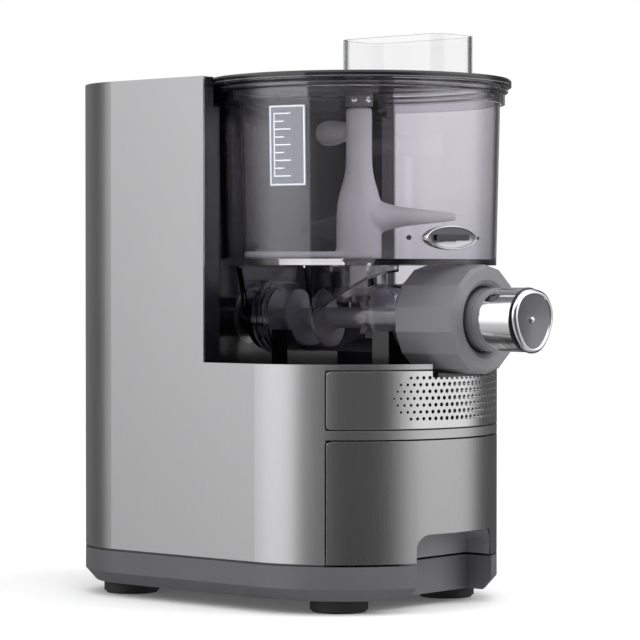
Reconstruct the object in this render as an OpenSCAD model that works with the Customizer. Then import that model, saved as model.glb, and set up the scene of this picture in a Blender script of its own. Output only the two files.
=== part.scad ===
// Electric pasta maker: a rounded body with a tower, a smoked tank, a screw barrel and a die head.
// Millimetres. +Z is up, the noodles leave towards -Y, and +X is on the right seen from the front.
// The origin is on the table, under the middle of the whole outline.

/* [Body outline] */
// Width of the body across its flat sides.
body_w = 200; // [180:1:220]
// Distance from the outline's centre line forward to the middle of the front.
front_depth = 93; // [90:0.5:97]
// Radius of the two shoulders between the flat sides and the front.
shoulder_r = 88; // [84:0.5:89]
// Distance from the outline's centre line back to where the rear corners start.
side_len = 130; // [120:1:140]
// Radius of the two rear corners.
rear_r = 60; // [45:1:70]
// Thickness of the brushed outer skin.
skin = 1.6; // [1.2:0.1:2]
// Thickness of the plastic walls.
wall = 2.4; // [2:0.1:3]
// Space left between neighbouring pieces.
gap = 0.3; // [0.2:0.05:0.5]

/* [Heights] */
// Height of the feet.
foot_h = 9; // [7:0.5:11]
// Height of the base tray's top edge above the table.
base_top = 31.6; // [28:0.1:34]
// Height of the outer skin's bottom edge.
skin_bottom = 33; // [32:0.1:36]
// Height of the lower body's top edge.
body_top = 160.5; // [158:0.1:163]
// Height of the tower's top edge.
tower_top = 347.7; // [344:0.1:352]
// Height of the screw's axis.
axis_z = 189; // [188:0.1:190]

/* [Base] */
// Height of the bevel round the base's bottom edge.
base_bevel_h = 8; // [5:0.5:10]
// How far the base's bottom edge is drawn in.
base_bevel_in = 7; // [4:0.5:9]
// Radius of each foot.
foot_r = 19; // [14:0.5:20]
// Sideways distance of the front feet from the middle.
foot_front_x = 56; // [50:1:62]
// Place of the front feet along Y.
foot_front_y = -34; // [-40:1:-25]
// Sideways distance of the rear feet from the middle.
foot_rear_x = 64; // [55:1:68]
// Place of the rear feet along Y.
foot_rear_y = 146; // [130:1:152]

/* [Front panels] */
// Place along Y of the seam between the side skin and the front panels.
seam_y = -47.9; // [-52:0.1:-44]
// Width of the seams between the skin and the front panels.
seam = 1; // [0.6:0.1:1.5]
// Radius of the front panels' corners.
panel_r = 2.6; // [1.5:0.1:4]
// Height of the grille panel's bottom edge.
grille_bottom = 119.2; // [117:0.1:121]
// Height of the grille panel's top edge.
grille_top = 156.1; // [154:0.1:157]
// Distance between neighbouring holes in a row.
hole_pitch = 4.7; // [4.3:0.1:5.2]
// Distance between rows of holes.
hole_row = 4.37; // [4:0.01:4.6]
// Diameter of the holes in the middle of the grille.
hole_big = 2.8; // [2.4:0.1:3]
// Diameter of the holes at the ends of the grille.
hole_small = 1.3; // [1.1:0.1:1.6]
// Half the length of the middle row of holes.
hole_reach = 54.3; // [50:0.1:58]
// Half the length of the flat part of the top and bottom rows.
hole_flat = 38; // [34:0.1:42]
// Height of the drawer front's top edge.
drawer_top = 111.5; // [109:0.1:114]
// Half the width of the finger recess.
recess_half_w = 39.5; // [36:0.5:42]
// Height of the finger recess's roof.
recess_top = 51; // [48:0.5:54]
// Radius of the finger recess's upper corners.
recess_r = 10; // [6:0.5:12]
// Place along Y of the finger recess's back wall.
recess_y = -64; // [-68:0.5:-60]

/* [Drawer] */
// Half the width of the drawer box.
box_half_w = 74; // [70:0.5:76]
// Height of the underside of the drawer box.
box_bottom = 39; // [38.8:0.1:41]
// Height of the drawer box's rim.
box_top = 106; // [100:0.5:108]
// Place along Y of the back of the drawer box.
box_back_y = 62; // [50:1:66]
// How far the drawer pulls out.
drawer_travel = 110; // [90:1:120]

/* [Deck] */
// Height of the deck's floor.
deck_floor = 149.6; // [148:0.1:150]
// Half the width of the notch in the front rim below the nut.
rim_notch_half_w = 28; // [26:0.5:32]
// Height of the bottom of that notch.
rim_notch_z = 151.9; // [151.8:0.1:152.2]

/* [Tower] */
// Place along Y of the tower's front edges.
tower_front_y = 45; // [43:0.5:48]
// Space between the tank and the hollow in the tower's face.
tank_clear = 3.2; // [2.8:0.1:4]
// Space between the lid's rim and the hollow round it.
lid_clear = 0.9; // [0.7:0.1:1.5]
// Depth of the lid's hollow below the tower's top edge.
lid_hollow_deep = 19.7; // [18:0.1:22]
// Thickness of the top cover.
cover_t = 3; // [2.5:0.1:4]

/* [Tank] */
// Place of the tank's axis along Y.
tank_y = -4; // [-6:0.5:-2]
// Outer radius of the tank at the top.
tank_top_r = 94.4; // [94:0.1:95]
// How much narrower the tank's radius is at the bottom.
tank_taper = 2.7; // [1.4:0.1:3.4]
// Thickness of the tank's wall.
tank_wall = 2.8; // [2.4:0.1:3.2]
// How far the tank's top edge lies below the tower's top edge.
tank_drop = 7.3; // [6.9:0.1:7.7]
// Height of the tank floor's upper side above the screw's axis.
floor_rise = 39; // [38.5:0.1:40]
// Thickness of the tank's floor.
tank_floor_t = 4; // [3:0.1:4.2]

/* [Barrel] */
// Outer radius of the barrel.
barrel_r = 22.7; // [22.4:0.1:23]
// Bore radius of the barrel.
barrel_bore_r = 20; // [19.8:0.1:20.2]
// Place along Y of the barrel's front end.
barrel_front_y = -104; // [-105:0.5:-103]
// Distance between the barrel's rear end and the gearbox.
hub_room = 18.3; // [17:0.1:20]
// Half the width of the feed hopper at the tank's floor.
hopper_half_w = 33; // [31:0.5:36]
// Place along Y of the feed hopper's front end.
hopper_front_y = 16; // [15.5:0.5:18]
// Outer radius of the gear turret below the tank's floor.
turret_r = 19; // [18.5:0.1:19.4]

/* [Screw] */
// Core radius of the screw.
screw_core_r = 7; // [6:0.1:8]
// Gap between the screw's flight and the barrel.
screw_gap = 0.4; // [0.35:0.05:0.6]
// Distance from one turn of the flight to the next.
screw_pitch = 22; // [20:0.5:26]
// Number of teeth on the screw's pinion.
pinion_teeth = 12; // [12:1:12]
// Number of teeth on the paddle's crown gear.
crown_teeth = 12; // [12:1:12]

/* [Paddle] */
// Radius of the paddle's shaft.
paddle_r = 8.7; // [8:0.1:9.4]
// Radius of the bell at the foot of the paddle.
bell_r = 15.1; // [14:0.1:16]
// Height of the bell's straight part above the tank's floor.
bell_h = 30; // [26:0.5:34]
// Height above the tank's floor where the bell ends in the shaft.
neck_h = 60; // [50:0.5:66]
// Radius of the spindle through the tank's floor.
spindle_r = 6; // [5:0.1:7]
// Radius of the stub that runs in the lid.
stub_r = 4; // [3:0.1:5]
// Length of the middle arm from the axis.
arm_len = 66; // [60:1:75]
// Radius of the middle arm where it leaves the bell.
arm_root_r = 7.6; // [7:0.1:8.5]
// Radius of the middle arm's rounded tip.
arm_tip_r = 2.6; // [2:0.1:4]
// Height of the middle arm above the tank's floor.
arm_rise = 28.5; // [26:0.5:32]
// Length of the upper arm from the axis.
upper_len = 50; // [40:1:60]
// Radius of the upper arm where it leaves the shaft.
upper_root_r = 5.5; // [4:0.1:7]
// Radius of the upper arm's rounded tip.
upper_tip_r = 9; // [7:0.1:10]
// Height of the upper arm below the tank's top edge.
upper_drop = 25.9; // [22:0.1:32]
// Length of the floor blade from the axis.
blade_len = 77; // [70:1:78]
// Thickness of the floor blade.
blade_t = 4.5; // [3:0.1:6]
// Direction of the middle arm, counted from +X towards +Y.
arm_turn = -50; // [-60:1:-40]
// Direction of the upper arm.
upper_turn = 65; // [55:1:75]

/* [Lid and cup] */
// How far the lid's rim stands out beyond the tank.
lid_over = 7.3; // [6.8:0.1:7.6]
// Thickness of the lid's plate.
lid_plate_t = 2.8; // [2:0.1:3]
// How far the lid's skirt reaches down past the tank's top edge.
lid_skirt = 9.4; // [8:0.1:10.5]
// Space between the tank's edge and the lid, filled by the seal.
seal_t = 0.4; // [0.4:0.05:0.8]
// Radius of the hub below the lid.
hub_r = 9.2; // [8:0.1:11]
// Height of the hub below the lid.
hub_h = 13.6; // [12:0.1:15]
// Length of the cup along Y.
cup_len = 88; // [86:0.5:89]
// Width of the cup.
cup_w = 43; // [41:0.5:45]
// Place along Y of the cup's middle.
cup_y = -45.5; // [-48:0.5:-43]
// Height of the cup's rim above the lid.
cup_h = 26.8; // [25:0.1:30]
// Thickness of the cup's wall.
cup_wall = 2; // [1.8:0.1:2.6]
// Radius of the cup's corners.
cup_r = 13; // [10:0.5:15]
// How far the cup's foot in the lid is drawn in at its sides.
foot_in = 9.5; // [8.5:0.1:10.5]
// How far the cup's foot in the lid is drawn in at its ends.
foot_end = 14; // [13:0.1:15.5]
// Diameter of the holes that the water drips through.
drip_hole = 3.2; // [2:0.1:4]

/* [Nut and die head] */
// Distance across the nut's flats.
nut_flats = 69; // [67:0.5:69.5]
// Place along Y of the nut's rear face.
nut_rear_y = -62.5; // [-64:0.5:-61]
// Place along Y of the nut's front face.
nut_front_y = -111.4; // [-113:0.1:-110]
// Radius of the polished die head.
head_r = 20.6; // [20:0.1:21]
// Place along Y of the front of the die head's tube.
head_front_y = -144.5; // [-146:0.5:-143]
// Diameter of the holes the noodles leave through.
die_hole = 2.8; // [2.2:0.1:3.2]
// Distance between neighbouring holes in a row.
die_pitch = 3.7; // [3.4:0.1:4]
// Thickness of the nut's front wall.
nut_wall = 4; // [3:0.1:5]
// How far the rings round the barrel stand out.
ring_out = 2.4; // [2:0.1:2.5]
// Length of the cap on the die head's end.
cap_len = 5.2; // [4.6:0.1:6]
// Width of the cap's bright rim.
cap_edge = 2.2; // [1.8:0.1:3]

/* [Latch] */
// Direction of the thumb latch on the tank's wall, counted from +X.
latch_turn = 259; // [255:1:262]
// Height of the latch's middle.
latch_z = 241.5; // [240:0.1:243]
// Length of the latch's bezel.
latch_w = 45; // [40:0.5:48]
// Height of the latch's bezel.
latch_h = 15.6; // [14:0.1:17]
// Width of the bezel's bright edge.
latch_edge = 1.6; // [1.2:0.1:2]
// How far the latch's bezel stands out from the tank.
bezel_out = 3.1; // [2.5:0.1:4]
// How far the dish inside the bezel stands out from the tank.
dish_out = 0.9; // [0.8:0.05:1.5]

/* [Level scale] */
// Width of the level scale on the tank.
scale_w = 26; // [20:1:30]
// Height of the level scale on the tank.
scale_h = 51; // [40:1:56]
// Distance of the scale's middle below the tank's top edge.
scale_drop = 39.9; // [34:0.1:44]
// Direction of the level scale, counted from +X.
scale_turn = 190.4; // [188:0.1:194]
// Width of the scale's lines.
line_w = 0.9; // [0.7:0.1:1.2]

/* [Drive] */
// Number of teeth on the output gear.
out_teeth = 48; // [48:1:48]
// Number of teeth on the small layshaft gear.
lay_small = 12; // [12:1:12]
// Number of teeth on the large layshaft gear.
lay_large = 40; // [40:1:40]
// Number of teeth on the motor's pinion.
motor_teeth = 12; // [12:1:12]
// Tooth size (module) of the slow pair.
slow_module = 1.5; // [1.5:0.1:1.5]
// Tooth size (module) of the fast pair.
fast_module = 1.25; // [1.25:0.05:1.25]
// Radius of the motor.
motor_r = 30; // [26:1:32]
// Length of the motor.
motor_len = 40; // [34:1:48]
// Inner depth of the gearbox plus its two walls.
case_depth = 32; // [32:0.5:36]
// Thickness of the gearbox's walls.
case_wall = 3; // [2.4:0.1:3.4]
// Room between the large gear's teeth and the gearbox's wall.
case_room = 4; // [2:0.5:6]
// Width of the slow pair's teeth.
slow_w = 8; // [6:0.5:8.5]
// Width of the fast pair's teeth.
fast_w = 6; // [4:0.5:6.5]
// Radius of the output shaft.
shaft_r = 6; // [5:0.1:7]
// Radius of the layshaft.
lay_r = 4; // [3:0.1:5]
// Radius of the motor's shaft.
rotor_r = 2.5; // [2:0.1:3]
// Space round each shaft in its bore.
run_clear = 0.05; // [0.03:0.01:0.08]
// Radius of the output hub that takes the screw's end.
out_hub_r = 14; // [12:0.5:16]
// Radius of the screw's six-sided end, over its corners.
hex_r = 6.8; // [6:0.1:8]
// Space round the screw's six-sided end.
hex_clear = 0.4; // [0.3:0.05:0.6]
// Thickness of the two posts that carry the gearbox.
post_t = 5; // [4:0.5:7]
// Radius of the fan over its blades.
fan_r = 25; // [20:0.5:28]
// Number of the fan's blades.
fan_blades = 7; // [5:1:9]

/* [Controls] */
// Distance between neighbouring buttons.
button_step = 24; // [20:1:28]
// Radius of the buttons.
button_r = 7; // [6:0.1:8]
// How far a button goes down.
button_travel = 1.2; // [0.8:0.1:1.5]
// Place of the buttons along Y.
button_y = 160; // [155:1:165]
// Place of the display along Y.
display_y = 128; // [124:1:132]
// Width of the display's window.
display_w = 70; // [60:1:76]
// Length of the display's window along Y.
display_len = 26; // [22:1:28]
// Depth of the display's window.
display_t = 1.2; // [1:0.1:1.5]
// Depth of the control board below the tower's top edge.
board_deep = 13; // [12.8:0.1:16]
// Height of the small switches on the control board.
switch_h = 3.4; // [3:0.1:4]

/* [Rear and boards] */
// Sideways place of the power inlet.
inlet_x = -28; // [-34:1:-24]
// Height of the power inlet and the rocker.
inlet_z = 62; // [60:1:70]
// Width of the power inlet's opening.
inlet_w = 29; // [28:0.5:31]
// Height of the power inlet's opening.
inlet_h = 23; // [22:0.5:25]
// How far the inlet's flange stands out.
inlet_out = 1.5; // [1:0.1:2.5]
// Sideways place of the rocker.
rocker_x = 22; // [18:1:28]
// Width of the rocker's opening.
rocker_w = 25; // [23:0.5:27]
// Height of the rocker's opening.
rocker_h = 17; // [16:0.5:19]
// Thickness of the circuit boards.
board_t = 1.6; // [1.2:0.1:2]
// Distance between the main board's side and the body's side.
board_in = 36; // [34:1:44]
// Length of the main board along Y.
board_len = 36; // [34:1:40]
// Height of the main board above the base's floor.
board_lift = 12; // [8:0.5:14]
// Height of the parts on the main board.
part_h = 19.4; // [12:0.1:20]

/* [Hidden] */
$fn = 96;
half_w = body_w / 2;
rear_y = side_len + rear_r;
front_y = -front_depth;
front_r = (pow(half_w - shoulder_r, 2) + pow(front_depth, 2) - pow(shoulder_r, 2))
    / (2 * (front_depth - shoulder_r));
front_cy = front_r - front_depth;
blend_len = front_r - shoulder_r;
blend_x = (half_w - shoulder_r) / blend_len;
blend_y = front_cy / blend_len;
cap_front_y = head_front_y - cap_len;
panel_x = half_w - shoulder_r + sqrt(pow(shoulder_r, 2) - pow(seam_y - seam / 2, 2));
y_shift = -(rear_y + inlet_out + cap_front_y) / 2;
inner = skin + gap;
hollow_r = tank_top_r + tank_clear;
nut_corner_r = nut_flats / 2 / cos(180 / 14);
lid_r = tank_top_r + lid_over;
lid_hollow_r = lid_r + lid_clear;
lid_hollow_z = tower_top - lid_hollow_deep;
cover_top = tower_top - gap;
cover_under = cover_top - cover_t;
tank_bottom_r = tank_top_r - tank_taper;
tank_top = tower_top - tank_drop;
tank_floor = axis_z + floor_rise;
latch_r = tank_r(latch_z);
plate_top = tower_top - 1.3;
plate_under = plate_top - lid_plate_t;
hub_z = plate_under - hub_h;
cup_top = plate_top + cup_h;
board_z = tower_top - board_deep;
board_w = half_w - board_in - 6;
tray_floor = foot_h + 3;
out_r = out_teeth * slow_module / 2;
lay_small_r = lay_small * slow_module / 2;
lay_large_r = lay_large * fast_module / 2;
motor_pinion_r = motor_teeth * fast_module / 2;
lay_z = axis_z + out_r + lay_small_r;
motor_z = lay_z + lay_large_r + motor_pinion_r;
case_front = tank_y + hollow_r + wall + gap;
barrel_rear_y = case_front - hub_room;
gear_y = case_front + case_wall + 5;
fast_y = gear_y + slow_w + 3;
case_back = case_front + case_depth;
fan_y = case_back + motor_len + 4;
crown_m = 2;
pinion_r = pinion_teeth * crown_m / 2;
crown_pitch_r = crown_teeth * crown_m / 2;

module place() {
    translate([0, y_shift, 0])
        children();
}

// ---- shared outlines ----

// The body's outline, drawn in by d. True arcs all round: each smaller circle touches the next one.
module plan(d) {
    cut_y = front_cy - (front_r - d) * blend_y;
    intersection() {
        translate([0, front_cy])
            circle(front_r - d);
        translate([-half_w, cut_y - 200])
            square([body_w, 200]);
    }
    for (s = [-1, 1]) {
        translate([s * (half_w - shoulder_r), 0])
            circle(shoulder_r - d);
        translate([s * (half_w - rear_r), side_len])
            circle(rear_r - d);
    }
    translate([d - half_w, 0])
        square([body_w - 2 * d, side_len]);
    translate([rear_r - half_w, side_len - 20])
        square([body_w - 2 * rear_r, rear_r - d + 20]);
}

// A wall that follows the outline between two insets.
module plan_ring(a, b) {
    difference() {
        plan(a);
        plan(b);
    }
}

module slab(z0, z1) {
    translate([0, 0, z0])
        linear_extrude(z1 - z0)
            children();
}

// A box from its low corner to its high corner.
module block(lo, hi) {
    translate(lo)
        cube(hi - lo);
}

// A rod along Y from y0 to y1, round the point x, z.
module rod_y(x, z, r, y0, y1) {
    translate([x, y1, z])
        rotate([90, 0, 0])
            cylinder(r = r, h = y1 - y0);
}

// A ring along Y.
module tube_y(x, z, r, bore, y0, y1) {
    difference() {
        rod_y(x, z, r, y0, y1);
        rod_y(x, z, bore, y0 - 1, y1 + 1);
    }
}

// A flat shape drawn in X and Z, standing from y0 to y1.
module stand_y(y0, y1) {
    translate([0, y1, 0])
        rotate([90, 0, 0])
            linear_extrude(y1 - y0)
                children();
}

module round_rect(w, h, r) {
    square([w - 2 * r, h], center = true);
    square([w, h - 2 * r], center = true);
    for (x = [-1, 1])
        for (y = [-1, 1])
            translate([x * (w / 2 - r), y * (h / 2 - r)])
                circle(r);
}

// A gear's outline: short straight-sided teeth with room between them.
module gear_shape(n, m, turn) {
    r = n * m / 2;
    step = 360 / n;
    root = r - 1.15 * m;
    tip = r + 0.8 * m;
    polygon([
        for (i = [0 : n - 1])
            for (k = [0 : 3])
                let (
                    a = i * step + turn + [-0.27, -0.115, 0.115, 0.27][k] * step,
                    q = [root, tip, tip, root][k]
                )
                [q * cos(a), q * sin(a)]
    ]);
}

// The finger recess, as a flat shape seen from the front.
module recess_shape(grow) {
    w = recess_half_w + grow;
    top = recess_top + grow;
    translate([-w, -10])
        square([2 * w, top + 10 - recess_r]);
    translate([recess_r - w, top - recess_r - 1])
        square([2 * (w - recess_r), recess_r + 1]);
    for (s = [-1, 1])
        translate([s * (w - recess_r), top - recess_r])
            circle(recess_r);
}

// Everything in front of the seam, or behind it.
module ahead(y) {
    translate([-150, y - 200])
        square([300, 200]);
}

module behind(y) {
    translate([-150, y])
        square([300, 300]);
}

// ---- base ----

module base_tray() {
    place()
    color([0.24, 0.24, 0.25])
    difference() {
        union() {
            hull() {
                slab(foot_h, foot_h + 0.2)
                    plan(base_bevel_in);
                slab(foot_h + base_bevel_h, foot_h + base_bevel_h + 0.2)
                    plan(0);
            }
            slab(foot_h + base_bevel_h + 0.1, base_top)
                plan(0);
            slab(base_top - 1, skin_bottom + 5)
                intersection() {
                    plan(inner);
                    behind(seam_y + 2);
                }
        }
        difference() {
            slab(tray_floor, skin_bottom + 6)
                plan(base_bevel_in + 1);
            block([-recess_half_w - 3, front_y - 1, 0], [recess_half_w + 3, recess_y + 3, 60]);
        }
        block([-recess_half_w, front_y - 1, 0], [recess_half_w, recess_y, 60]);
    }
}

module feet() {
    place()
    color([0.1, 0.1, 0.1])
    for (s = [-1, 1]) {
        for (q = [[foot_front_x, foot_front_y], [foot_rear_x, foot_rear_y]])
            translate([s * q[0], q[1], 0]) {
                cylinder(r = foot_r - 1.5, h = 1.5);
                translate([0, 0, 1.5])
                    cylinder(r = foot_r, h = foot_h - 1.5);
            }
    }
}

// ---- outer skin and front panels ----

module side_skin() {
    place()
    color([0.62, 0.62, 0.64])
    difference() {
        union() {
            slab(skin_bottom, body_top)
                intersection() {
                    plan_ring(0, skin);
                    behind(seam_y + seam / 2);
                }
            slab(body_top - 0.5, tower_top)
                intersection() {
                    plan_ring(0, skin);
                    behind(tower_front_y);
                }
            for (q = [[drawer_top + seam, grille_bottom - seam], [grille_top + seam, body_top]])
                slab(q[0], q[1])
                    intersection() {
                        plan_ring(0, skin);
                        ahead(seam_y + 1);
                    }
        }
        rim_notch();
        inlet_cut();
        rocker_cut();
        vent_cuts();
    }
}

// The notch in the front rim that leaves room for the nut.
module rim_notch() {
    block([-rim_notch_half_w, front_y - 1, rim_notch_z], [rim_notch_half_w, seam_y - 10, body_top + 1]);
}

module inlet_cut() {
    stand_y(rear_y - 12, rear_y + 12)
        translate([inlet_x, inlet_z])
            round_rect(inlet_w, inlet_h, 3);
}

module rocker_cut() {
    stand_y(rear_y - 12, rear_y + 12)
        translate([rocker_x, inlet_z])
            round_rect(rocker_w, rocker_h, 1.5);
}

// Upright air slots in the rear wall.
module vent_cuts() {
    for (i = [-4 : 4])
        for (z = [110, 270])
            stand_y(rear_y - 12, rear_y + 12)
                translate([i * 8, z])
                    round_rect(3.6, 34, 1.7);
}

module grille_panel() {
    place()
    color([0.72, 0.72, 0.73])
    difference() {
        intersection() {
            slab(grille_bottom, grille_top)
                intersection() {
                    plan_ring(0, skin);
                    ahead(seam_y - seam / 2);
                }
            stand_y(front_y - 5, seam_y + 5)
                translate([0, (grille_bottom + grille_top) / 2])
                    round_rect(2 * panel_x, grille_top - grille_bottom, panel_r);
        }
        rim_notch();
        for (k = [-3 : 3])
            grille_row(k);
    }
}

// One row of holes; the holes shrink towards the ends of the row.
module grille_row(k) {
    reach = hole_flat + (hole_reach - hole_flat) * sqrt(1 - pow(k * hole_row / 15, 2));
    turn = hole_pitch / front_r * 180 / PI;
    mid_z = (grille_bottom + grille_top) / 2 + 1;
    shift = (k % 2 == 0) ? 0 : 0.5;
    for (i = [-13 : 13])
        let (a = (i + shift) * turn, x = front_r * sin(a))
        if (abs(x) <= reach)
            translate([0, front_cy, mid_z + k * hole_row])
                rotate([0, 0, a])
                    rotate([90, 0, 0])
                        translate([0, 0, front_r - 4])
                            cylinder(d = hole_small + (hole_big - hole_small) * cos(a * 2.7), h = 6, $fn = 24);
}

module drawer_front() {
    place()
    color([0.6, 0.6, 0.62])
    difference() {
        intersection() {
            slab(skin_bottom, drawer_top)
                intersection() {
                    plan_ring(0, skin);
                    ahead(seam_y - seam / 2);
                }
            stand_y(front_y - 5, seam_y + 5) {
                translate([0, (skin_bottom + drawer_top) / 2])
                    round_rect(2 * panel_x, drawer_top - skin_bottom, panel_r);
                translate([-panel_x, skin_bottom - 5])
                    square([2 * panel_x, 25]);
            }
        }
        stand_y(front_y - 5, recess_y)
            recess_shape(0);
    }
}

module drawer_box() {
    place()
    color([0.2, 0.2, 0.21])
    difference() {
        union() {
            slab(box_bottom, box_top)
                intersection() {
                    plan(inner - gap);
                    translate([-box_half_w, -150])
                        square([2 * box_half_w, 150 + box_back_y]);
                }
            slab(skin_bottom, recess_top + 2)
                intersection() {
                    plan(inner - gap);
                    translate([-recess_half_w - 2, -150])
                        square([2 * recess_half_w + 4, 152 + recess_y]);
                }
        }
        slab(box_bottom + 2, box_top + 1)
            intersection() {
                plan(inner + 2.2);
                translate([2.2 - box_half_w, recess_y + 2])
                    square([2 * box_half_w - 4.4, box_back_y - recess_y - 4.2]);
            }
        slab(recess_top + 2, box_top + 1)
            intersection() {
                plan(inner + 2.2);
                translate([2.2 - box_half_w, -150])
                    square([2 * box_half_w - 4.4, 150 + recess_y + 3]);
            }
        stand_y(front_y - 5, recess_y)
            recess_shape(0);
    }
}

// Two shelves on legs, which the drawer box slides on.
module drawer_rails() {
    place()
    color([0.15, 0.15, 0.16])
    intersection() {
        slab(tray_floor, box_bottom + 12)
            plan(base_bevel_in + 1 + gap);
        for (s = [0, 1])
            mirror([s, 0, 0]) {
                block(
                    [box_half_w - 12, -40, box_bottom - gap - 2],
                    [half_w, box_back_y + 14, box_bottom - gap]
                );
                block(
                    [box_half_w + gap, -40, box_bottom - gap - 0.5],
                    [box_half_w + gap + 2.5, box_back_y + 14, box_bottom + 12]
                );
                for (y = [-30, 60])
                    block([box_half_w - 6, y, tray_floor], [box_half_w + 6, y + 8, box_bottom - gap - 2]);
            }
    }
}

// ---- inner frame, deck and tower ----

// The moulding behind the skin: it closes the front above the drawer and carries the deck.
module inner_frame() {
    place()
    color([0.08, 0.08, 0.09])
    difference() {
        union() {
            slab(skin_bottom + 5 + gap, body_top - 0.5)
                intersection() {
                    plan_ring(inner, inner + wall);
                    behind(seam_y + 3);
                }
            slab(drawer_top + 1, body_top - 0.5)
                plan_ring(inner, inner + wall);
            slab(body_top - 1, lid_hollow_z)
                intersection() {
                    plan_ring(inner, inner + wall);
                    behind(tower_front_y + wall + gap);
                }
            slab(deck_floor - wall, deck_floor)
                intersection() {
                    plan(inner + wall - 0.5);
                    ahead(tower_front_y + 70);
                }
        }
        block([-rim_notch_half_w, front_y - 1, rim_notch_z - gap], [rim_notch_half_w, -60, body_top + 1]);
        slab(deck_floor - wall - 1, deck_floor + 1)
            translate([-60, case_front - 1.3])
                square([120, 60]);
        stand_y(front_y - 5, front_y + 30)
            translate([0, (grille_bottom + grille_top) / 2 + 1])
                round_rect(2 * hole_reach + 4, 30, 8);
        inlet_cut();
        rocker_cut();
        vent_cuts();
        block([-60, rear_y - 20, 40], [60, rear_y - inner - wall + 0.01, 41]);
    }
}

// Saddles on the deck that the barrel lies in.
module barrel_saddles() {
    place()
    color([0.16, 0.16, 0.17])
    for (y = [-44, 44])
        difference() {
            block([-26, y - 7, deck_floor], [26, y + 7, axis_z - 8]);
            rod_y(0, axis_z, barrel_r + gap, y - 8, y + 8);
        }
}

// The tower's dark face, hollowed to hug the tank.
module tower_face() {
    place()
    color([0.05, 0.05, 0.06])
    difference() {
        union() {
            slab(deck_floor, lid_hollow_z)
                intersection() {
                    plan(inner);
                    behind(tower_front_y);
                    difference() {
                        translate([0, tank_y])
                            circle(hollow_r + wall);
                        translate([0, tank_y])
                            circle(hollow_r);
                    }
                }
            slab(body_top, lid_hollow_z)
                intersection() {
                    plan(inner);
                    difference() {
                        translate([-150, tower_front_y])
                            square([300, wall]);
                        translate([0, tank_y])
                            circle(hollow_r + 0.5);
                    }
                }
        }
        rod_y(0, axis_z, out_hub_r + 5, barrel_rear_y - 18, case_front + 10);
    }
}

// The cover on top of the tower, with its hollow for the lid.
module top_cover() {
    place()
    color([0.06, 0.06, 0.07])
    difference() {
        union() {
            slab(cover_under, cover_top)
                intersection() {
                    plan(inner);
                    behind(tower_front_y);
                }
            slab(lid_hollow_z + gap, tower_top - 1)
                intersection() {
                    plan(inner);
                    behind(tower_front_y);
                    translate([0, tank_y])
                        circle(lid_hollow_r + wall);
                }
            slab(lid_hollow_z + gap, tower_top - 1)
                intersection() {
                    plan(inner);
                    translate([-150, tower_front_y])
                        square([300, wall]);
                }
            slab(lid_hollow_z + gap, tower_top - 1)
                intersection() {
                    plan_ring(inner, inner + wall);
                    behind(tower_front_y);
                }
        }
        slab(lid_hollow_z - 1, tower_top + 1)
            translate([0, tank_y])
                circle(lid_hollow_r);
        for (i = [-1.5 : 1 : 1.5])
            translate([i * button_step, button_y, tower_top - 6])
                cylinder(r = button_r + gap, h = 10);
        slab(cover_top - display_t, tower_top + 1)
            translate([0, display_y])
                round_rect(display_w + 0.4, display_len + 0.4, 3.2);
        slab(tower_top - 6, tower_top + 1)
            translate([0, display_y])
                round_rect(display_w - 14, display_len - 8, 2);
    }
}

module display_window() {
    place()
    color([0.05, 0.06, 0.08])
    slab(cover_top - display_t, cover_top)
        translate([0, display_y])
            round_rect(display_w, display_len, 3);
}

// The board under the cover, with one small switch below each button.
module control_board() {
    place()
    color([0.1, 0.3, 0.18]) {
        difference() {
            slab(board_z, board_z + board_t)
                translate([0, button_y - 15])
                    square([4 * button_step + 4, 56], center = true);
            board_corners()
                translate([0, 0, board_z - 5])
                    cylinder(r = 1.6, h = 10);
        }
        for (i = [-1.5 : 1 : 1.5])
            translate([i * button_step, button_y, board_z + board_t])
                block([-3, -3, 0], [3, 3, switch_h]);
        block(
            [14 - display_w / 2 - 5, display_y - 8, board_z + board_t],
            [display_w / 2 - 9, display_y + 8, cover_under - 2.1]
        );
    }
}

module board_corners() {
    for (x = [-1, 1])
        for (y = [-38, 8])
            translate([x * (2 * button_step - 3), button_y + y, 0])
                children();
}

module board_posts() {
    place()
    color([0.12, 0.12, 0.13])
    board_corners() {
        translate([0, 0, board_z + board_t])
            cylinder(r = 3.5, h = cover_under - board_z - board_t);
        translate([0, 0, board_z - 1.8])
            cylinder(r = 1.5, h = board_t + 2.4);
        translate([0, 0, board_z - 1.8])
            cylinder(r = 3, h = 1.8);
    }
}

// One button: its cap, the flange that keeps it in, and its stem.
module button(i) {
    place()
    color([0.75, 0.76, 0.78])
    translate([i * button_step, button_y, 0]) {
        translate([0, 0, cover_under - 2])
            cylinder(r = button_r, h = cover_t + gap + 3);
        translate([0, 0, cover_under - 2])
            cylinder(r = button_r + 1.5, h = 2);
        translate([0, 0, board_z + board_t + switch_h + button_travel + gap])
            cylinder(r = 2.5, h = cover_under - board_z - board_t - switch_h - button_travel - 1.8);
    }
}

module button_power() {
    button(-1.5);
}

module button_mode() {
    button(-0.5);
}

module button_less() {
    button(0.5);
}

module button_more() {
    button(1.5);
}

// ---- power inlet, switch and boards ----

// The power inlet: a block behind the skin with a hollow for the plug.
module inlet_socket() {
    place()
    color([0.05, 0.05, 0.05])
    difference() {
        union() {
            stand_y(rear_y - 22, rear_y)
                translate([inlet_x, inlet_z])
                    round_rect(inlet_w - 2 * gap, inlet_h - 2 * gap, 2.7);
            stand_y(rear_y + 0.1, rear_y + inlet_out)
                translate([inlet_x, inlet_z])
                    round_rect(inlet_w + 4, inlet_h + 4, 4);
            stand_y(rear_y - 0.2, rear_y + 0.3)
                translate([inlet_x, inlet_z])
                    round_rect(inlet_w - 1, inlet_h - 1, 2.5);
        }
        stand_y(rear_y - 19, rear_y + 5)
            translate([inlet_x, inlet_z])
                round_rect(inlet_w - 7, inlet_h - 7, 2);
    }
}

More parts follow.
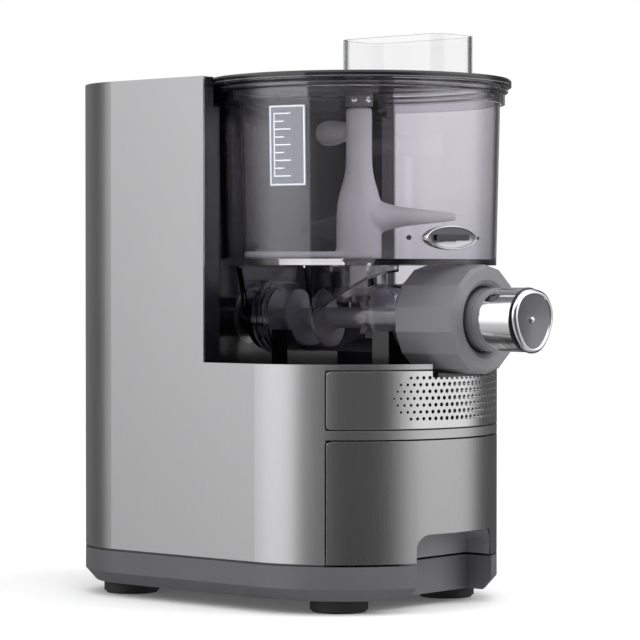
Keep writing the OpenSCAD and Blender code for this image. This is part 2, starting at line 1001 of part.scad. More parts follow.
module inlet_pins() {
    place()
    color([0.75, 0.7, 0.5])
    for (q = [[-7, -2], [0, 2], [7, -2]])
        translate([inlet_x + q[0], 0, inlet_z + q[1]])
            block([-1, rear_y - 19, -2], [1, rear_y - 5, 2]);
}

module rocker_frame() {
    place()
    color([0.05, 0.05, 0.05])
    difference() {
        union() {
            stand_y(rear_y - 14, rear_y + 0.1)
                translate([rocker_x, inlet_z])
                    round_rect(rocker_w - 2 * gap, rocker_h - 2 * gap, 1.2);
            stand_y(rear_y + 0.1, rear_y + inlet_out)
                translate([rocker_x, inlet_z])
                    round_rect(rocker_w + 3, rocker_h + 3, 2);
        }
        stand_y(rear_y - 11, rear_y + 5)
            translate([rocker_x, inlet_z])
                square([rocker_w - 5, rocker_h - 5], center = true);
    }
}

// The power rocker tips about a line along X inside its frame.
module rocker() {
    place()
    color([0.1, 0.1, 0.1])
    translate([rocker_x, rear_y - 4, inlet_z])
        rotate([90, 0, 90])
            translate([0, 0, 2.9 - rocker_w / 2])
                linear_extrude(rocker_w - 5.8)
                    intersection() {
                        polygon([[-3, -5], [4.6, -5], [5.3, 0], [4.6, 5], [-3, 5]]);
                        circle(rocker_h / 2 - 3);
                    }
}

// The main board's corner nearest the middle, at the base's floor.
module at_board() {
    place()
    translate([-6, side_len + 7, tray_floor + board_lift])
        children();
}

module main_board() {
    color([0.1, 0.3, 0.18])
    at_board() {
        block([-board_w, 0, 0], [0, board_len, board_t]);
        for (x = [6 - board_w, -6])
            for (y = [5, board_len - 6])
                translate([x, y, -board_lift])
                    cylinder(r = 3, h = board_lift);
    }
}

// A transformer, a heat sink and two round capacitors on the board.
module board_parts() {
    color([0.3, 0.3, 0.33])
    at_board()
        translate([0, 0, board_t]) {
            block([6 - board_w, 5, 0], [28 - board_w, 27, part_h]);
            block([33 - board_w, 4, 0], [37 - board_w, board_len - 4, part_h]);
            for (y = [8, board_len - 9])
                translate([-11, y, 0])
                    cylinder(r = 6, h = part_h);
        }
}

// ---- gearbox and motor ----

module case_shape(grow) {
    translate([0, axis_z])
        circle(out_r + case_room + grow);
    translate([-motor_r - grow, axis_z])
        square([2 * (motor_r + grow), motor_z - axis_z]);
    translate([0, motor_z])
        circle(motor_r + grow);
}

// The two bores that the shafts run in.
module case_bores(y0, y1) {
    rod_y(0, axis_z, shaft_r + run_clear, y0, y1);
    rod_y(0, lay_z, lay_r + run_clear, y0, y1);
}

module gearbox_case() {
    place()
    color([0.55, 0.56, 0.58])
    difference() {
        stand_y(case_front, case_back - case_wall)
            case_shape(case_wall);
        stand_y(case_front + case_wall, case_back)
            case_shape(0);
        case_bores(case_front - 1, case_front + case_wall + 1);
    }
}

module gearbox_cover() {
    place()
    color([0.55, 0.56, 0.58])
    difference() {
        stand_y(case_back - case_wall, case_back)
            case_shape(case_wall);
        case_bores(case_back - case_wall - 1, case_back + 1);
        rod_y(0, motor_z, 10, case_back - case_wall - 1, case_back + 1);
    }
}

module case_screws() {
    place()
    color([0.75, 0.75, 0.78])
    for (s = [-1, 1])
        for (q = [[s * (out_r + 0.5), axis_z - 20], [s * (motor_r + 1.5), lay_z - 3.5]])
            rod_y(q[0], q[1], 3, case_back, case_back + 2.4);
}

// Two posts that carry the gearbox on the base.
module drive_posts() {
    place()
    color([0.45, 0.46, 0.48])
    for (s = [0, 1])
        mirror([s, 0, 0])
            translate([out_r + case_room + case_wall, 0, tray_floor]) {
                block([0, case_front + 2, 0], [post_t, case_back - 6, axis_z + 20 - tray_floor]);
                block([0, case_front - 8, 0], [post_t + 14, case_back + 4, 3]);
            }
}

module output_shaft() {
    place()
    color([0.7, 0.7, 0.72]) {
        rod_y(0, axis_z, shaft_r, case_front - 1, case_back - 1);
        difference() {
            rod_y(0, axis_z, out_hub_r, barrel_rear_y + 1.2, case_front - 0.2);
            stand_y(barrel_rear_y, barrel_rear_y + 14)
                translate([0, axis_z])
                    circle(r = hex_r + hex_clear, $fn = 6);
        }
    }
}

module output_gear() {
    place()
    color([0.8, 0.78, 0.7])
    difference() {
        stand_y(gear_y, gear_y + slow_w)
            translate([0, axis_z])
                gear_shape(out_teeth, slow_module, 0);
        rod_y(0, axis_z, shaft_r + 0.04, gear_y - 1, gear_y + slow_w + 1);
    }
}

module layshaft() {
    place()
    color([0.7, 0.7, 0.72]) {
        rod_y(0, lay_z, lay_r, case_front + 0.5, case_back - 0.5);
        stand_y(gear_y - 0.5, gear_y + slow_w + 1)
            translate([0, lay_z])
                gear_shape(lay_small, slow_module, 15);
    }
}

module lay_wheel() {
    place()
    color([0.82, 0.8, 0.74])
    difference() {
        stand_y(fast_y, fast_y + fast_w)
            translate([0, lay_z])
                gear_shape(lay_large, fast_module, 0);
        rod_y(0, lay_z, lay_r + 0.04, fast_y - 1, fast_y + fast_w + 1);
    }
}

module motor() {
    place()
    color([0.5, 0.5, 0.52])
    difference() {
        union() {
            rod_y(0, motor_z, motor_r, case_back, case_back + motor_len);
            rod_y(0, motor_z, motor_r - 18, case_back + motor_len, case_back + motor_len + 3);
        }
        rod_y(0, motor_z, rotor_r + run_clear, case_back - 1, fan_y);
    }
}

module rotor() {
    place()
    color([0.75, 0.75, 0.78]) {
        rod_y(0, motor_z, rotor_r, fast_y - 0.5, fan_y + 8);
        stand_y(fast_y - 0.5, fast_y + fast_w + 0.5)
            translate([0, motor_z])
                gear_shape(motor_teeth, fast_module, 15);
    }
}

module fan() {
    place()
    color([0.15, 0.15, 0.16])
    difference() {
        union() {
            rod_y(0, motor_z, 9, fan_y, fan_y + 7);
            for (i = [1 : fan_blades])
                translate([0, fan_y + 3.5, motor_z])
                    rotate([0, i * 360 / fan_blades, 0])
                        rotate([25, 0, 0])
                            translate([8, -0.8, -3.2])
                                cube([fan_r - 8, 1.6, 6.4]);
        }
        rod_y(0, motor_z, rotor_r + 0.04, fan_y - 4, fan_y + 12);
    }
}

// ---- tank with its hopper, barrel and gear turret ----

function tank_r(z) =
    tank_bottom_r + tank_taper * (z - tank_floor + tank_floor_t) / (tank_top - tank_floor + tank_floor_t);

module tank_cone(grow, z0, z1) {
    translate([0, tank_y, z0])
        cylinder(r1 = tank_r(z0) + grow, r2 = tank_r(z1) + grow, h = z1 - z0);
}

module tank() {
    place()
    color([0.55, 0.55, 0.6, 0.4])
    difference() {
        union() {
            difference() {
                tank_cone(0, tank_floor - tank_floor_t, tank_top);
                tank_cone(-tank_wall, tank_floor, tank_top + 1);
            }
            rod_y(0, axis_z, barrel_r, barrel_front_y, barrel_rear_y);
            for (y = [-72, -80, -88])
                rod_y(0, axis_z, barrel_r + ring_out, y - 1.5, y + 1.5);
            stand_y(hopper_front_y, barrel_rear_y)
                polygon([
                    [-hopper_half_w, tank_floor - 1], [hopper_half_w, tank_floor - 1],
                    [barrel_r, axis_z], [-barrel_r, axis_z]
                ]);
            translate([0, tank_y, axis_z])
                cylinder(r = turret_r, h = tank_floor - axis_z - 1);
            stand_y(barrel_rear_y - 3, barrel_rear_y) {
                translate([0, tank_floor - 15])
                    circle(27.5);
                translate([-27.5, axis_z])
                    square([55, tank_floor - 15 - axis_z]);
            }
        }
        rod_y(0, axis_z, barrel_bore_r, barrel_front_y - 1, barrel_rear_y - 3);
        stand_y(hopper_front_y + 3, barrel_rear_y - 3)
            polygon([
                [3 - hopper_half_w, tank_floor + 1], [hopper_half_w - 3, tank_floor + 1],
                [barrel_bore_r - 0.5, axis_z], [0.5 - barrel_bore_r, axis_z]
            ]);
        translate([0, tank_y, axis_z])
            cylinder(r = turret_r - 2.4, h = tank_floor - axis_z - 8);
        translate([0, tank_y, axis_z])
            cylinder(r = spindle_r + run_clear, h = 60);
        rod_y(0, axis_z, 5.06, barrel_rear_y - 5, barrel_rear_y + 2);
        // A shallow groove in the floor's underside clears the nut's corners.
        difference() {
            rod_y(0, axis_z, nut_corner_r + gap, nut_front_y - 1, nut_rear_y + gap);
            rod_y(0, axis_z, barrel_r + ring_out + 0.6, nut_front_y - 2, nut_rear_y + 1);
        }
    }
}

// A plain level scale on the tank: a frame and a ladder of ticks.
module level_scale() {
    place()
    color([0.85, 0.87, 0.9])
    intersection() {
        translate([0, tank_y, tank_top - scale_drop])
            rotate([0, 0, scale_turn])
                translate([tank_top_r - 14, 0, 0])
                    rotate([90, 0, 90])
                        linear_extrude(30) {
                            difference() {
                                round_rect(scale_w, scale_h, 1);
                                round_rect(scale_w - 2, scale_h - 2, 0.6);
                            }
                            for (i = [-4 : 4])
                                translate([4 - scale_w / 2, i * 5])
                                    square([(i % 2 == 0) ? 12 : 7, line_w]);
                            translate([4 - line_w - scale_w / 2, -20])
                                square([line_w, 40 + line_w]);
                        }
        difference() {
            tank_cone(0.5, tank_top - 75, tank_top - 5);
            tank_cone(0.05, tank_top - 76, tank_top - 4);
        }
    }
}

module almond(grow) {
    w = latch_w / 2;
    h = latch_h / 2;
    q = (w * w + h * h) / (2 * h);
    intersection() {
        translate([0, h - q])
            circle(q + grow);
        translate([0, q - h])
            circle(q + grow);
        square([2 * w - 1.2 + 2 * grow, 4 * h], center = true);
    }
}

// Stands its flat child on the tank's wall at the latch, from radius r0 to r1.
module on_wall(r0, r1) {
    translate([0, tank_y, latch_z])
        rotate([0, 0, latch_turn])
            translate([r0, 0, 0])
                rotate([90, 0, 90])
                    linear_extrude(r1 - r0)
                        children();
}

module latch_bezel() {
    place()
    color([0.85, 0.85, 0.87])
    difference() {
        on_wall(latch_r - 7, latch_r + bezel_out)
            difference() {
                almond(0);
                almond(-latch_edge);
            }
        tank_cone(0.05, latch_z - 18, latch_z + 18);
    }
}

module latch_dish() {
    place()
    color([0.25, 0.25, 0.27])
    difference() {
        on_wall(latch_r - 7, latch_r + dish_out)
            almond(-latch_edge - 0.4);
        tank_cone(0.05, latch_z - 18, latch_z + 18, $fn = 360);
    }
}

// The bar that the thumb slides sideways to free the tank.
module latch_bar() {
    place()
    color([0.35, 0.35, 0.38])
    on_wall(latch_r + dish_out + 0.2, latch_r + bezel_out + 0.4)
        translate([-3, 0])
            round_rect(20, 3.6, 1.6);
}

module latch_marks() {
    place()
    color([0.1, 0.1, 0.1])
    intersection() {
        on_wall(latch_r - 12, latch_r + 8)
            for (s = [-1, 1])
                translate([s * (latch_w / 2 + 6.75) - 0.75, 0])
                    circle(1.3 - 0.3 * s);
        difference() {
            tank_cone(0.4, latch_z - 12, latch_z + 13);
            tank_cone(0.05, latch_z - 13, latch_z + 14);
        }
    }
}

// ---- screw ----

// The cross-section of the screw: its core and a wedge that winds into the flight.
module screw_shape() {
    circle(r = screw_core_r, $fn = 20);
    polygon([
        for (k = [0 : 6])
            [(barrel_bore_r - screw_gap) * cos(k * 10), (barrel_bore_r - screw_gap) * sin(k * 10)],
        [screw_core_r * 0.8 * cos(75), screw_core_r * 0.8 * sin(75)],
        [screw_core_r * 0.8 * cos(15), -screw_core_r * 0.8 * sin(15)]
    ]);
}

module flight(y0, y1) {
    translate([0, y1, axis_z])
        rotate([90, 0, 0])
            linear_extrude(
                y1 - y0, twist = -360 * (y1 - y0) / screw_pitch,
                slices = round((y1 - y0) / screw_pitch * 16), $fn = 16
            )
                screw_shape();
}

module screw() {
    place()
    color([0.8, 0.8, 0.82]) {
        flight(14, barrel_rear_y - 4);
        flight(-101, -22);
        rod_y(0, axis_z, screw_core_r, -22.5, 14.5);
        rod_y(0, axis_z, 5, barrel_rear_y - 4.5, barrel_rear_y + 1);
        rod_y(0, axis_z, 4, head_front_y + 3, -100.5);
        stand_y(barrel_rear_y + 0.8, barrel_rear_y + 13)
            translate([0, axis_z])
                circle(r = hex_r, $fn = 6);
    }
}

module screw_pinion() {
    place()
    color([0.75, 0.75, 0.77])
    difference() {
        stand_y(tank_y - crown_pitch_r - 3, tank_y - crown_pitch_r + 1.9)
            translate([0, axis_z])
                gear_shape(pinion_teeth, crown_m, 15);
        rod_y(0, axis_z, screw_core_r + 0.04, tank_y - crown_pitch_r - 4, tank_y - crown_pitch_r + 4);
    }
}

// ---- paddle ----

// Height above the tank's floor of a point on the bell's neck, from 0 at its foot to 1 at the shaft.
function neck_rise(t) = bell_h + t * (neck_h - bell_h);

module paddle() {
    place()
    color([0.78, 0.78, 0.8])
    translate([0, tank_y, 0]) {
        rotate_extrude()
            polygon([
                [0, axis_z + pinion_r + 5], [spindle_r, axis_z + pinion_r + 5], [spindle_r, tank_floor + 0.4],
                [bell_r, tank_floor + 0.4], [bell_r, tank_floor + bell_h],
                [bell_r - 1.2, tank_floor + neck_rise(0.27)], [bell_r - 3.6, tank_floor + neck_rise(0.53)],
                [paddle_r + 0.5, tank_floor + neck_rise(0.83)], [paddle_r, tank_floor + neck_h],
                [paddle_r, hub_z - 2], [paddle_r - 1, hub_z - 1], [stub_r, hub_z - 1],
                [stub_r, hub_z + 7.5], [0, hub_z + 7.5]
            ]);
        rotate([0, 0, arm_turn])
            translate([0, 0, tank_floor + arm_rise])
                rotate([0, 90, 0]) {
                    cylinder(r1 = arm_root_r, r2 = arm_tip_r, h = arm_len - arm_tip_r);
                    translate([0, 0, arm_len - arm_tip_r])
                        sphere(r = arm_tip_r);
                }
        rotate([0, 0, upper_turn])
            translate([0, 0, tank_top - upper_drop])
                rotate([0, 90, 0]) {
                    cylinder(r1 = upper_root_r, r2 = upper_tip_r, h = upper_len);
                    translate([0, 0, upper_len])
                        sphere(r = upper_tip_r);
                }
        rotate([0, 0, arm_turn + 180])
            translate([0, 0, tank_floor + 1])
                linear_extrude(blade_t)
                    polygon([
                        [0, -12], [blade_len - 8, -10], [blade_len, -4],
                        [blade_len, 4], [blade_len - 14, 8], [0, 13]
                    ]);
    }
}

module paddle_crown() {
    place()
    color([0.7, 0.7, 0.72])
    translate([0, tank_y, axis_z])
        difference() {
            union() {
                translate([0, 0, pinion_r + 2.4])
                    cylinder(r = crown_pitch_r + 3.3, h = 5.5);
                for (i = [0 : crown_teeth - 1])
                    rotate([0, 0, i * 360 / crown_teeth])
                        translate([crown_pitch_r - 3, 0, pinion_r])
                            rotate([90, 0, 90])
                                linear_extrude(6)
                                    polygon([[-1.5, 2.6], [-0.8, -1.5], [0.8, -1.5], [1.5, 2.6]]);
            }
            translate([0, 0, pinion_r - 3])
                cylinder(r = spindle_r + 0.04, h = 20);
        }
}

// ---- lid and cup ----

module lid() {
    plug_r = tank_top_r - tank_wall - 0.8;
    seat_z = tank_top + seal_t;
    place()
    color([0.06, 0.06, 0.07])
    translate([0, tank_y, 0])
        difference() {
            rotate_extrude()
                polygon([
                    [0, plate_under], [plug_r - wall, plate_under], [plug_r - wall, tank_top - 4.4],
                    [plug_r, tank_top - 4.4], [plug_r, seat_z], [tank_top_r + 0.5, seat_z],
                    [tank_top_r + 0.5, tank_top - lid_skirt], [lid_r - 4.3, tank_top - lid_skirt],
                    [lid_r - 4.3, tower_top - 10.2], [lid_r - 2.3, tower_top - 9],
                    [lid_r - 2.3, tower_top - 6.7], [lid_r, tower_top - 5.3], [lid_r, tower_top - 1.7],
                    [lid_r - 1.3, tower_top - 0.3], [lid_r - 5.7, tower_top],
                    [lid_r - 7.7, plate_top], [0, plate_top]
                ]);
            slab(plate_under - 3, plate_top + 3)
                translate([0, cup_y - tank_y])
                    cup_foot(0.4);
        }
}

// The outline of the cup's foot, which sits in a slot in the lid.
module cup_foot(grow) {
    round_rect(cup_w + 2 * (grow - foot_in), cup_len + 2 * (grow - foot_end), cup_r - 4.4 + grow);
}

module lid_seal() {
    place()
    color([0.7, 0.7, 0.72])
    translate([0, tank_y, tank_top + 0.05])
        difference() {
            cylinder(r = tank_top_r - 0.4, h = seal_t - 0.05);
            translate([0, 0, -1])
                cylinder(r = tank_top_r - tank_wall + 0.3, h = 3);
        }
}

// The bearing under the lid that holds the top of the paddle.
module lid_hub() {
    place()
    color([0.55, 0.55, 0.58])
    translate([0, tank_y, hub_z])
        difference() {
            union() {
                cylinder(r = hub_r, h = hub_h);
                translate([0, 0, hub_h - 3.6])
                    cylinder(r = hub_r + 3.8, h = 3.6);
            }
            translate([0, 0, -1])
                cylinder(r = stub_r + 0.06, h = 9);
        }
}

module cup() {
    place()
    color([0.9, 0.93, 0.95, 0.3])
    difference() {
        union() {
            slab(plate_top + gap, cup_top)
                translate([0, cup_y])
                    round_rect(cup_w, cup_len, cup_r);
            slab(plate_top - lid_plate_t + 0.4, plate_top + 0.6)
                translate([0, cup_y])
                    cup_foot(0);
        }
        slab(plate_top + gap + cup_wall, cup_top + 1)
            translate([0, cup_y])
                round_rect(cup_w - 2 * cup_wall, cup_len - 2 * cup_wall, cup_r - cup_wall);
        for (i = [-2 : 2])
            translate([0, cup_y + i * 10, plate_top - 6])
                cylinder(d = drip_hole, h = 10);
    }
}

// ---- nut and die head ----

module nut() {
    place()
    color([0.42, 0.42, 0.44])
    difference() {
        stand_y(nut_front_y, nut_rear_y)
            translate([0, axis_z])
                rotate(180 / 14)
                    circle(r = nut_corner_r, $fn = 14);
        rod_y(0, axis_z, barrel_r + ring_out + 0.8, nut_front_y + nut_wall, nut_rear_y - 4);
        rod_y(0, axis_z, barrel_r + ring_out + gap, nut_rear_y - 5, nut_rear_y + 1);
        rod_y(0, axis_z, head_r + 1.6, nut_front_y - 1, nut_front_y + nut_wall + 1);
    }
}

module die_head() {
    place()
    color([0.9, 0.9, 0.92])
    difference() {
        union() {
            rod_y(0, axis_z, head_r, head_front_y, barrel_front_y - gap);
            rod_y(0, axis_z, barrel_r + ring_out + 0.4, nut_front_y + nut_wall + gap, barrel_front_y - gap);
        }
        rod_y(0, axis_z, 15, head_front_y + 5, barrel_front_y);
        rod_y(0, axis_z, 4.06, head_front_y + 2.5, head_front_y + 6);
        for (i = [0 : 7])
            for (x = [-4, 4])
                translate([x, head_front_y + 7.6 + i * die_pitch, axis_z - 30])
                    cylinder(d = die_hole, h = 25, $fn = 24);
    }
}

// A dark ring between the die head and its end cap.
module die_ring() {
    place()
    color([0.06, 0.06, 0.06])
    rod_y(0, axis_z, head_r - 0.6, head_front_y - 1.5, head_front_y);
}

// Three wide arcs and one round rim give the cap its soft three-sided outline.
module cap_outline(grow) {
    intersection() {
        circle(head_r + 0.9 + grow);
        rotate(-90)
            translate([12, 0])
                circle(head_r + 11.2 + grow);
        rotate(30)
            translate([12, 0])
                circle(head_r + 11.2 + grow);
        rotate(150)
            translate([12, 0])
                circle(head_r + 11.2 + grow);
    }
}

module cap_rim() {
    place()
    color([0.88, 0.88, 0.9])
    difference() {
        stand_y(cap_front_y + 0.8, head_front_y - 1.5)
            translate([0, axis_z])
                cap_outline(0);
        stand_y(cap_front_y - 1, cap_front_y + 2.2)
            translate([0, axis_z])
                cap_outline(-cap_edge);
    }
}

module cap_face() {
    place()
    color([0.3, 0.3, 0.32])
    stand_y(cap_front_y + 0.4, cap_front_y + 2.2)
        translate([0, axis_z])
            cap_outline(-cap_edge - 0.2);
}

module cap_stud() {
    place()
    color([0.9, 0.9, 0.92])
    rod_y(0, axis_z, 1.8, cap_front_y, cap_front_y + 0.4);
}

base_tray();
feet();
side_skin();
grille_panel();
drawer_front();
drawer_box();
drawer_rails();
inner_frame();
barrel_saddles();
tower_face();
top_cover();
display_window();
control_board();
board_posts();
button_power();
button_mode();
button_less();
button_more();
inlet_socket();
inlet_pins();
rocker_frame();
rocker();
main_board();
board_parts();
gearbox_case();
gearbox_cover();
case_screws();
drive_posts();
output_shaft();
output_gear();
layshaft();
lay_wheel();
motor();
rotor();
fan();
tank();
level_scale();
latch_bezel();
latch_dish();
latch_bar();
latch_marks();
screw();
screw_pinion();
paddle();
paddle_crown();
lid();
lid_seal();
lid_hub();
cup();
nut();
die_head();
die_ring();
cap_rim();
cap_face();
cap_stud();
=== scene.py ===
import math

import bmesh
import bpy
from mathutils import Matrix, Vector


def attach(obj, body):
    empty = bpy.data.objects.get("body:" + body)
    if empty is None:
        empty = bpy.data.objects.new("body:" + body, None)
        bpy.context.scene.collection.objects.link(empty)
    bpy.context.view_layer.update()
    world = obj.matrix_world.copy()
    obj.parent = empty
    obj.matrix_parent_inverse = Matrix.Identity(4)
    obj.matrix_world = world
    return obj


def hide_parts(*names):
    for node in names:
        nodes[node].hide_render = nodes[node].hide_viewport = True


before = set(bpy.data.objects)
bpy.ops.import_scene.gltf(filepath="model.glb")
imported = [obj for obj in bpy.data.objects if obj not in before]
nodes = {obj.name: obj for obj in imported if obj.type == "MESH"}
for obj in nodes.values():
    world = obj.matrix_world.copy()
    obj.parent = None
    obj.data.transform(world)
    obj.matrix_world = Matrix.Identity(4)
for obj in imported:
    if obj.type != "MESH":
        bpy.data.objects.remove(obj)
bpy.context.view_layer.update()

MM = 0.001
SHIFT = -20.9

# ---------------------------------------------------------------- sizes, in millimetres, as in the solids

AXIS_Z = 189.0
BARREL_R = 22.9
TANK_Y = -4.0
TANK_FLOOR = 228.0
TANK_TOP = 340.4
LEVEL_Z = TANK_TOP - 39.9
LEVEL_TURN, LEVEL_W, LEVEL_H = 190.4, 26.6, 51.6
HUB_Z, HUB_TURN = 334.5, 229.3
MIDDLE_ARM_TURN, MIDDLE_ARM_Z = -50, TANK_FLOOR + 28.5
UPPER_ARM_TURN, UPPER_ARM_Z = 65, TANK_TOP - 25.9
BLADE_TURN = 130
LATCH_TURN, LATCH_Z, LATCH_OUT = 259.0, 241.5, 95.2
LATCH_HALF_W, LATCH_HALF_H = 20.9, 7.8
HEAD_R, HEAD_FRONT, CAP_FRONT = 20.6, -144.5, -149.7
NUT_FRONT, NUT_REAR, NUT_FLATS, NUT_SIDES = -111.4, -62.5, 69.0, 14


def tank_r(z):
    return 91.7 + 2.7 * (z - 224.0) / 116.4


def row(x, y, z):
    """A point in the part's own millimetres as a point of the row frame, in metres."""
    return Vector((x * MM, (y + SHIFT) * MM, z * MM))


# ---------------------------------------------------------------- node helpers


class Tree:
    """A small helper that adds and links the nodes of one material."""

    def __init__(self, name):
        self.material = bpy.data.materials.new(name)
        self.material.use_nodes = True
        self.tree = self.material.node_tree
        self.shader = self.tree.nodes["Principled BSDF"]
        self.out = self.tree.nodes["Material Output"]

    def add(self, kind, **values):
        node = self.tree.nodes.new(kind)
        for key, value in values.items():
            setattr(node, key, value)
        return node

    def link(self, a, b):
        self.tree.links.new(a, b)

    def set(self, **values):
        for key, value in values.items():
            name = key.replace("_", " ")
            socket = self.shader.inputs[name]
            socket.default_value = value

    def coords(self, scale=(1, 1, 1)):
        """Object coordinates, stretched."""
        tex = self.add("ShaderNodeTexCoord")
        mapping = self.add("ShaderNodeMapping")
        mapping.inputs["Scale"].default_value = scale
        self.link(tex.outputs["Object"], mapping.inputs["Vector"])
        return mapping.outputs["Vector"]

    def noise(self, vector, scale=5.0, detail=3.0, rough=0.5):
        node = self.add("ShaderNodeTexNoise")
        node.inputs["Scale"].default_value = scale
        node.inputs["Detail"].default_value = detail
        node.inputs["Roughness"].default_value = rough
        self.link(vector, node.inputs["Vector"])
        return node.outputs["Fac"]

    def span(self, value, low, high, from_low=0.3, from_high=0.7):
        """A factor mapped onto the range from low to high."""
        node = self.add("ShaderNodeMapRange")
        node.inputs["From Min"].default_value = from_low
        node.inputs["From Max"].default_value = from_high
        node.inputs["To Min"].default_value = low
        node.inputs["To Max"].default_value = high
        self.link(value, node.inputs["Value"])
        return node.outputs["Result"]

    def ramp(self, value, stops):
        node = self.add("ShaderNodeValToRGB")
        ramp = node.color_ramp
        while len(ramp.elements) < len(stops):
            ramp.elements.new(0.5)
        for element, (place, colour) in zip(ramp.elements, stops):
            element.position = place
            element.color = (*colour, 1)
        self.link(value, node.inputs["Fac"])
        return node.outputs["Color"]

    def bump(self, value, strength=0.1, distance=0.001, after=None):
        node = self.add("ShaderNodeBump")
        node.inputs["Strength"].default_value = strength
        node.inputs["Distance"].default_value = distance
        self.link(value, node.inputs["Height"])
        if after is not None:
            self.link(after, node.inputs["Normal"])
        return node.outputs["Normal"]

    def edge(self, radius_mm):
        """Rounds sharp edges in the light by a small radius."""
        node = self.add("ShaderNodeBevel", samples=4)
        node.inputs["Radius"].default_value = radius_mm * MM
        return node.outputs["Normal"]


def brushed(name, colour, rough, grain=(1400, 1400, 22), strength=0.05, spread=0.05):
    """Satin metal with fine streaks, slightly uneven in tone and gloss."""
    t = Tree(name)
    vector = t.coords(grain)
    streak = t.noise(vector, 1.0, 2.0, 0.6)
    cloud = t.noise(t.coords((9, 9, 5)), 1.0, 2.0, 0.5)
    light = tuple(min(1, c * (1 + spread)) for c in colour)
    dark = tuple(c * (1 - spread) for c in colour)
    t.link(t.ramp(streak, [(0.3, dark), (0.7, light)]), t.shader.inputs["Base Color"])
    total = t.add("ShaderNodeMath", operation="MULTIPLY_ADD")
    total.inputs[1].default_value = 0.5
    t.link(streak, total.inputs[0])
    t.link(cloud, total.inputs[2])
    t.link(t.span(total.outputs[0], rough - 0.03, rough + 0.04, 0.6, 0.95), t.shader.inputs["Roughness"])
    t.set(Metallic=1.0)
    t.link(t.bump(streak, strength, 0.0002, t.edge(0.35)), t.shader.inputs["Normal"])
    return t.material


def moulded(name, colour, rough=0.45, grain=900.0, strength=0.06, edge=0.3, coat=0.0, metallic=0.0):
    """Moulded plastic with a fine grain and small changes in gloss."""
    spread = 0.06
    t = Tree(name)
    vector = t.coords()
    fine = t.noise(vector, grain, 2.0, 0.5)
    cloud = t.noise(vector, 18.0, 3.0, 0.5)
    light = tuple(min(1, c * (1 + spread)) for c in colour)
    dark = tuple(c * (1 - spread) for c in colour)
    t.link(t.ramp(cloud, [(0.3, dark), (0.7, light)]), t.shader.inputs["Base Color"])
    t.link(t.span(cloud, rough - 0.04, rough + 0.05), t.shader.inputs["Roughness"])
    t.set(Metallic=metallic, Coat_Weight=coat, Coat_Roughness=0.08)
    normal = t.edge(edge) if edge else None
    t.link(t.bump(fine, strength, 0.0002, normal), t.shader.inputs["Normal"])
    return t.material


def polished(name, colour=(0.86, 0.86, 0.87), rough=0.05):
    """Chrome with faint polishing haze."""
    t = Tree(name)
    cloud = t.noise(t.coords(), 60.0, 3.0, 0.6)
    t.link(t.span(cloud, rough, rough + 0.03), t.shader.inputs["Roughness"])
    dark = tuple(c * 0.97 for c in colour)
    t.link(t.ramp(cloud, [(0.3, dark), (0.7, colour)]), t.shader.inputs["Base Color"])
    t.set(Metallic=1.0)
    t.link(t.bump(cloud, 0.02, 0.0002, t.edge(0.25)), t.shader.inputs["Normal"])
    return t.material


def clear(name, colour, rough=0.02, wave=0.02, edge=0.0, through=1.0):
    """Clear or smoked moulded plastic with a slight waviness."""
    t = Tree(name)
    cloud = t.noise(t.coords(), 22.0, 2.0, 0.5)
    dark = tuple(c * 0.98 for c in colour)
    t.link(t.ramp(cloud, [(0.3, dark), (0.7, colour)]), t.shader.inputs["Base Color"])
    t.link(t.span(cloud, rough, rough + 0.015), t.shader.inputs["Roughness"])
    t.set(Transmission_Weight=through, IOR=1.46)
    normal = t.edge(edge) if edge else None
    t.link(t.bump(cloud, wave, 0.0005, normal), t.shader.inputs["Normal"])
    return t.material


def pass_light(material, colour):
    """Lets lamps and soft boxes light what stands inside a clear part."""
    tree = material.node_tree
    path = tree.nodes.new("ShaderNodeLightPath")
    open_way = tree.nodes.new("ShaderNodeBsdfTransparent")
    open_way.inputs["Color"].default_value = (*colour, 1)
    mix = tree.nodes.new("ShaderNodeMixShader")
    out = tree.nodes["Material Output"]
    tree.links.new(path.outputs["Is Shadow Ray"], mix.inputs[0])
    tree.links.new(tree.nodes["Principled BSDF"].outputs[0], mix.inputs[1])
    tree.links.new(open_way.outputs[0], mix.inputs[2])
    tree.links.new(mix.outputs[0], out.inputs["Surface"])
    return material


def tank_material():
    """Smoked plastic, a little deeper in tone towards its thick foot."""
    t = Tree("smoked")
    tex = t.add("ShaderNodeTexCoord")
    split = t.add("ShaderNodeSeparateXYZ")
    t.link(tex.outputs["Object"], split.inputs[0])
    height = t.span(split.outputs["Z"], 0.0, 1.0, 0.215, 0.345)
    foot, wall, top = (0.62, 0.61, 0.65), (0.76, 0.745, 0.785), (0.80, 0.785, 0.825)
    tone = t.ramp(height, [(0.0, foot), (0.45, wall), (1.0, top)])
    t.link(tone, t.shader.inputs["Base Color"])
    cloud = t.noise(tex.outputs["Object"], 22.0, 2.0, 0.5)
    t.link(t.span(cloud, 0.02, 0.035), t.shader.inputs["Roughness"])
    t.set(Transmission_Weight=1.0, IOR=1.58)
    t.link(t.bump(cloud, 0.004, 0.0005), t.shader.inputs["Normal"])
    return t.material


# ---------------------------------------------------------------- materials

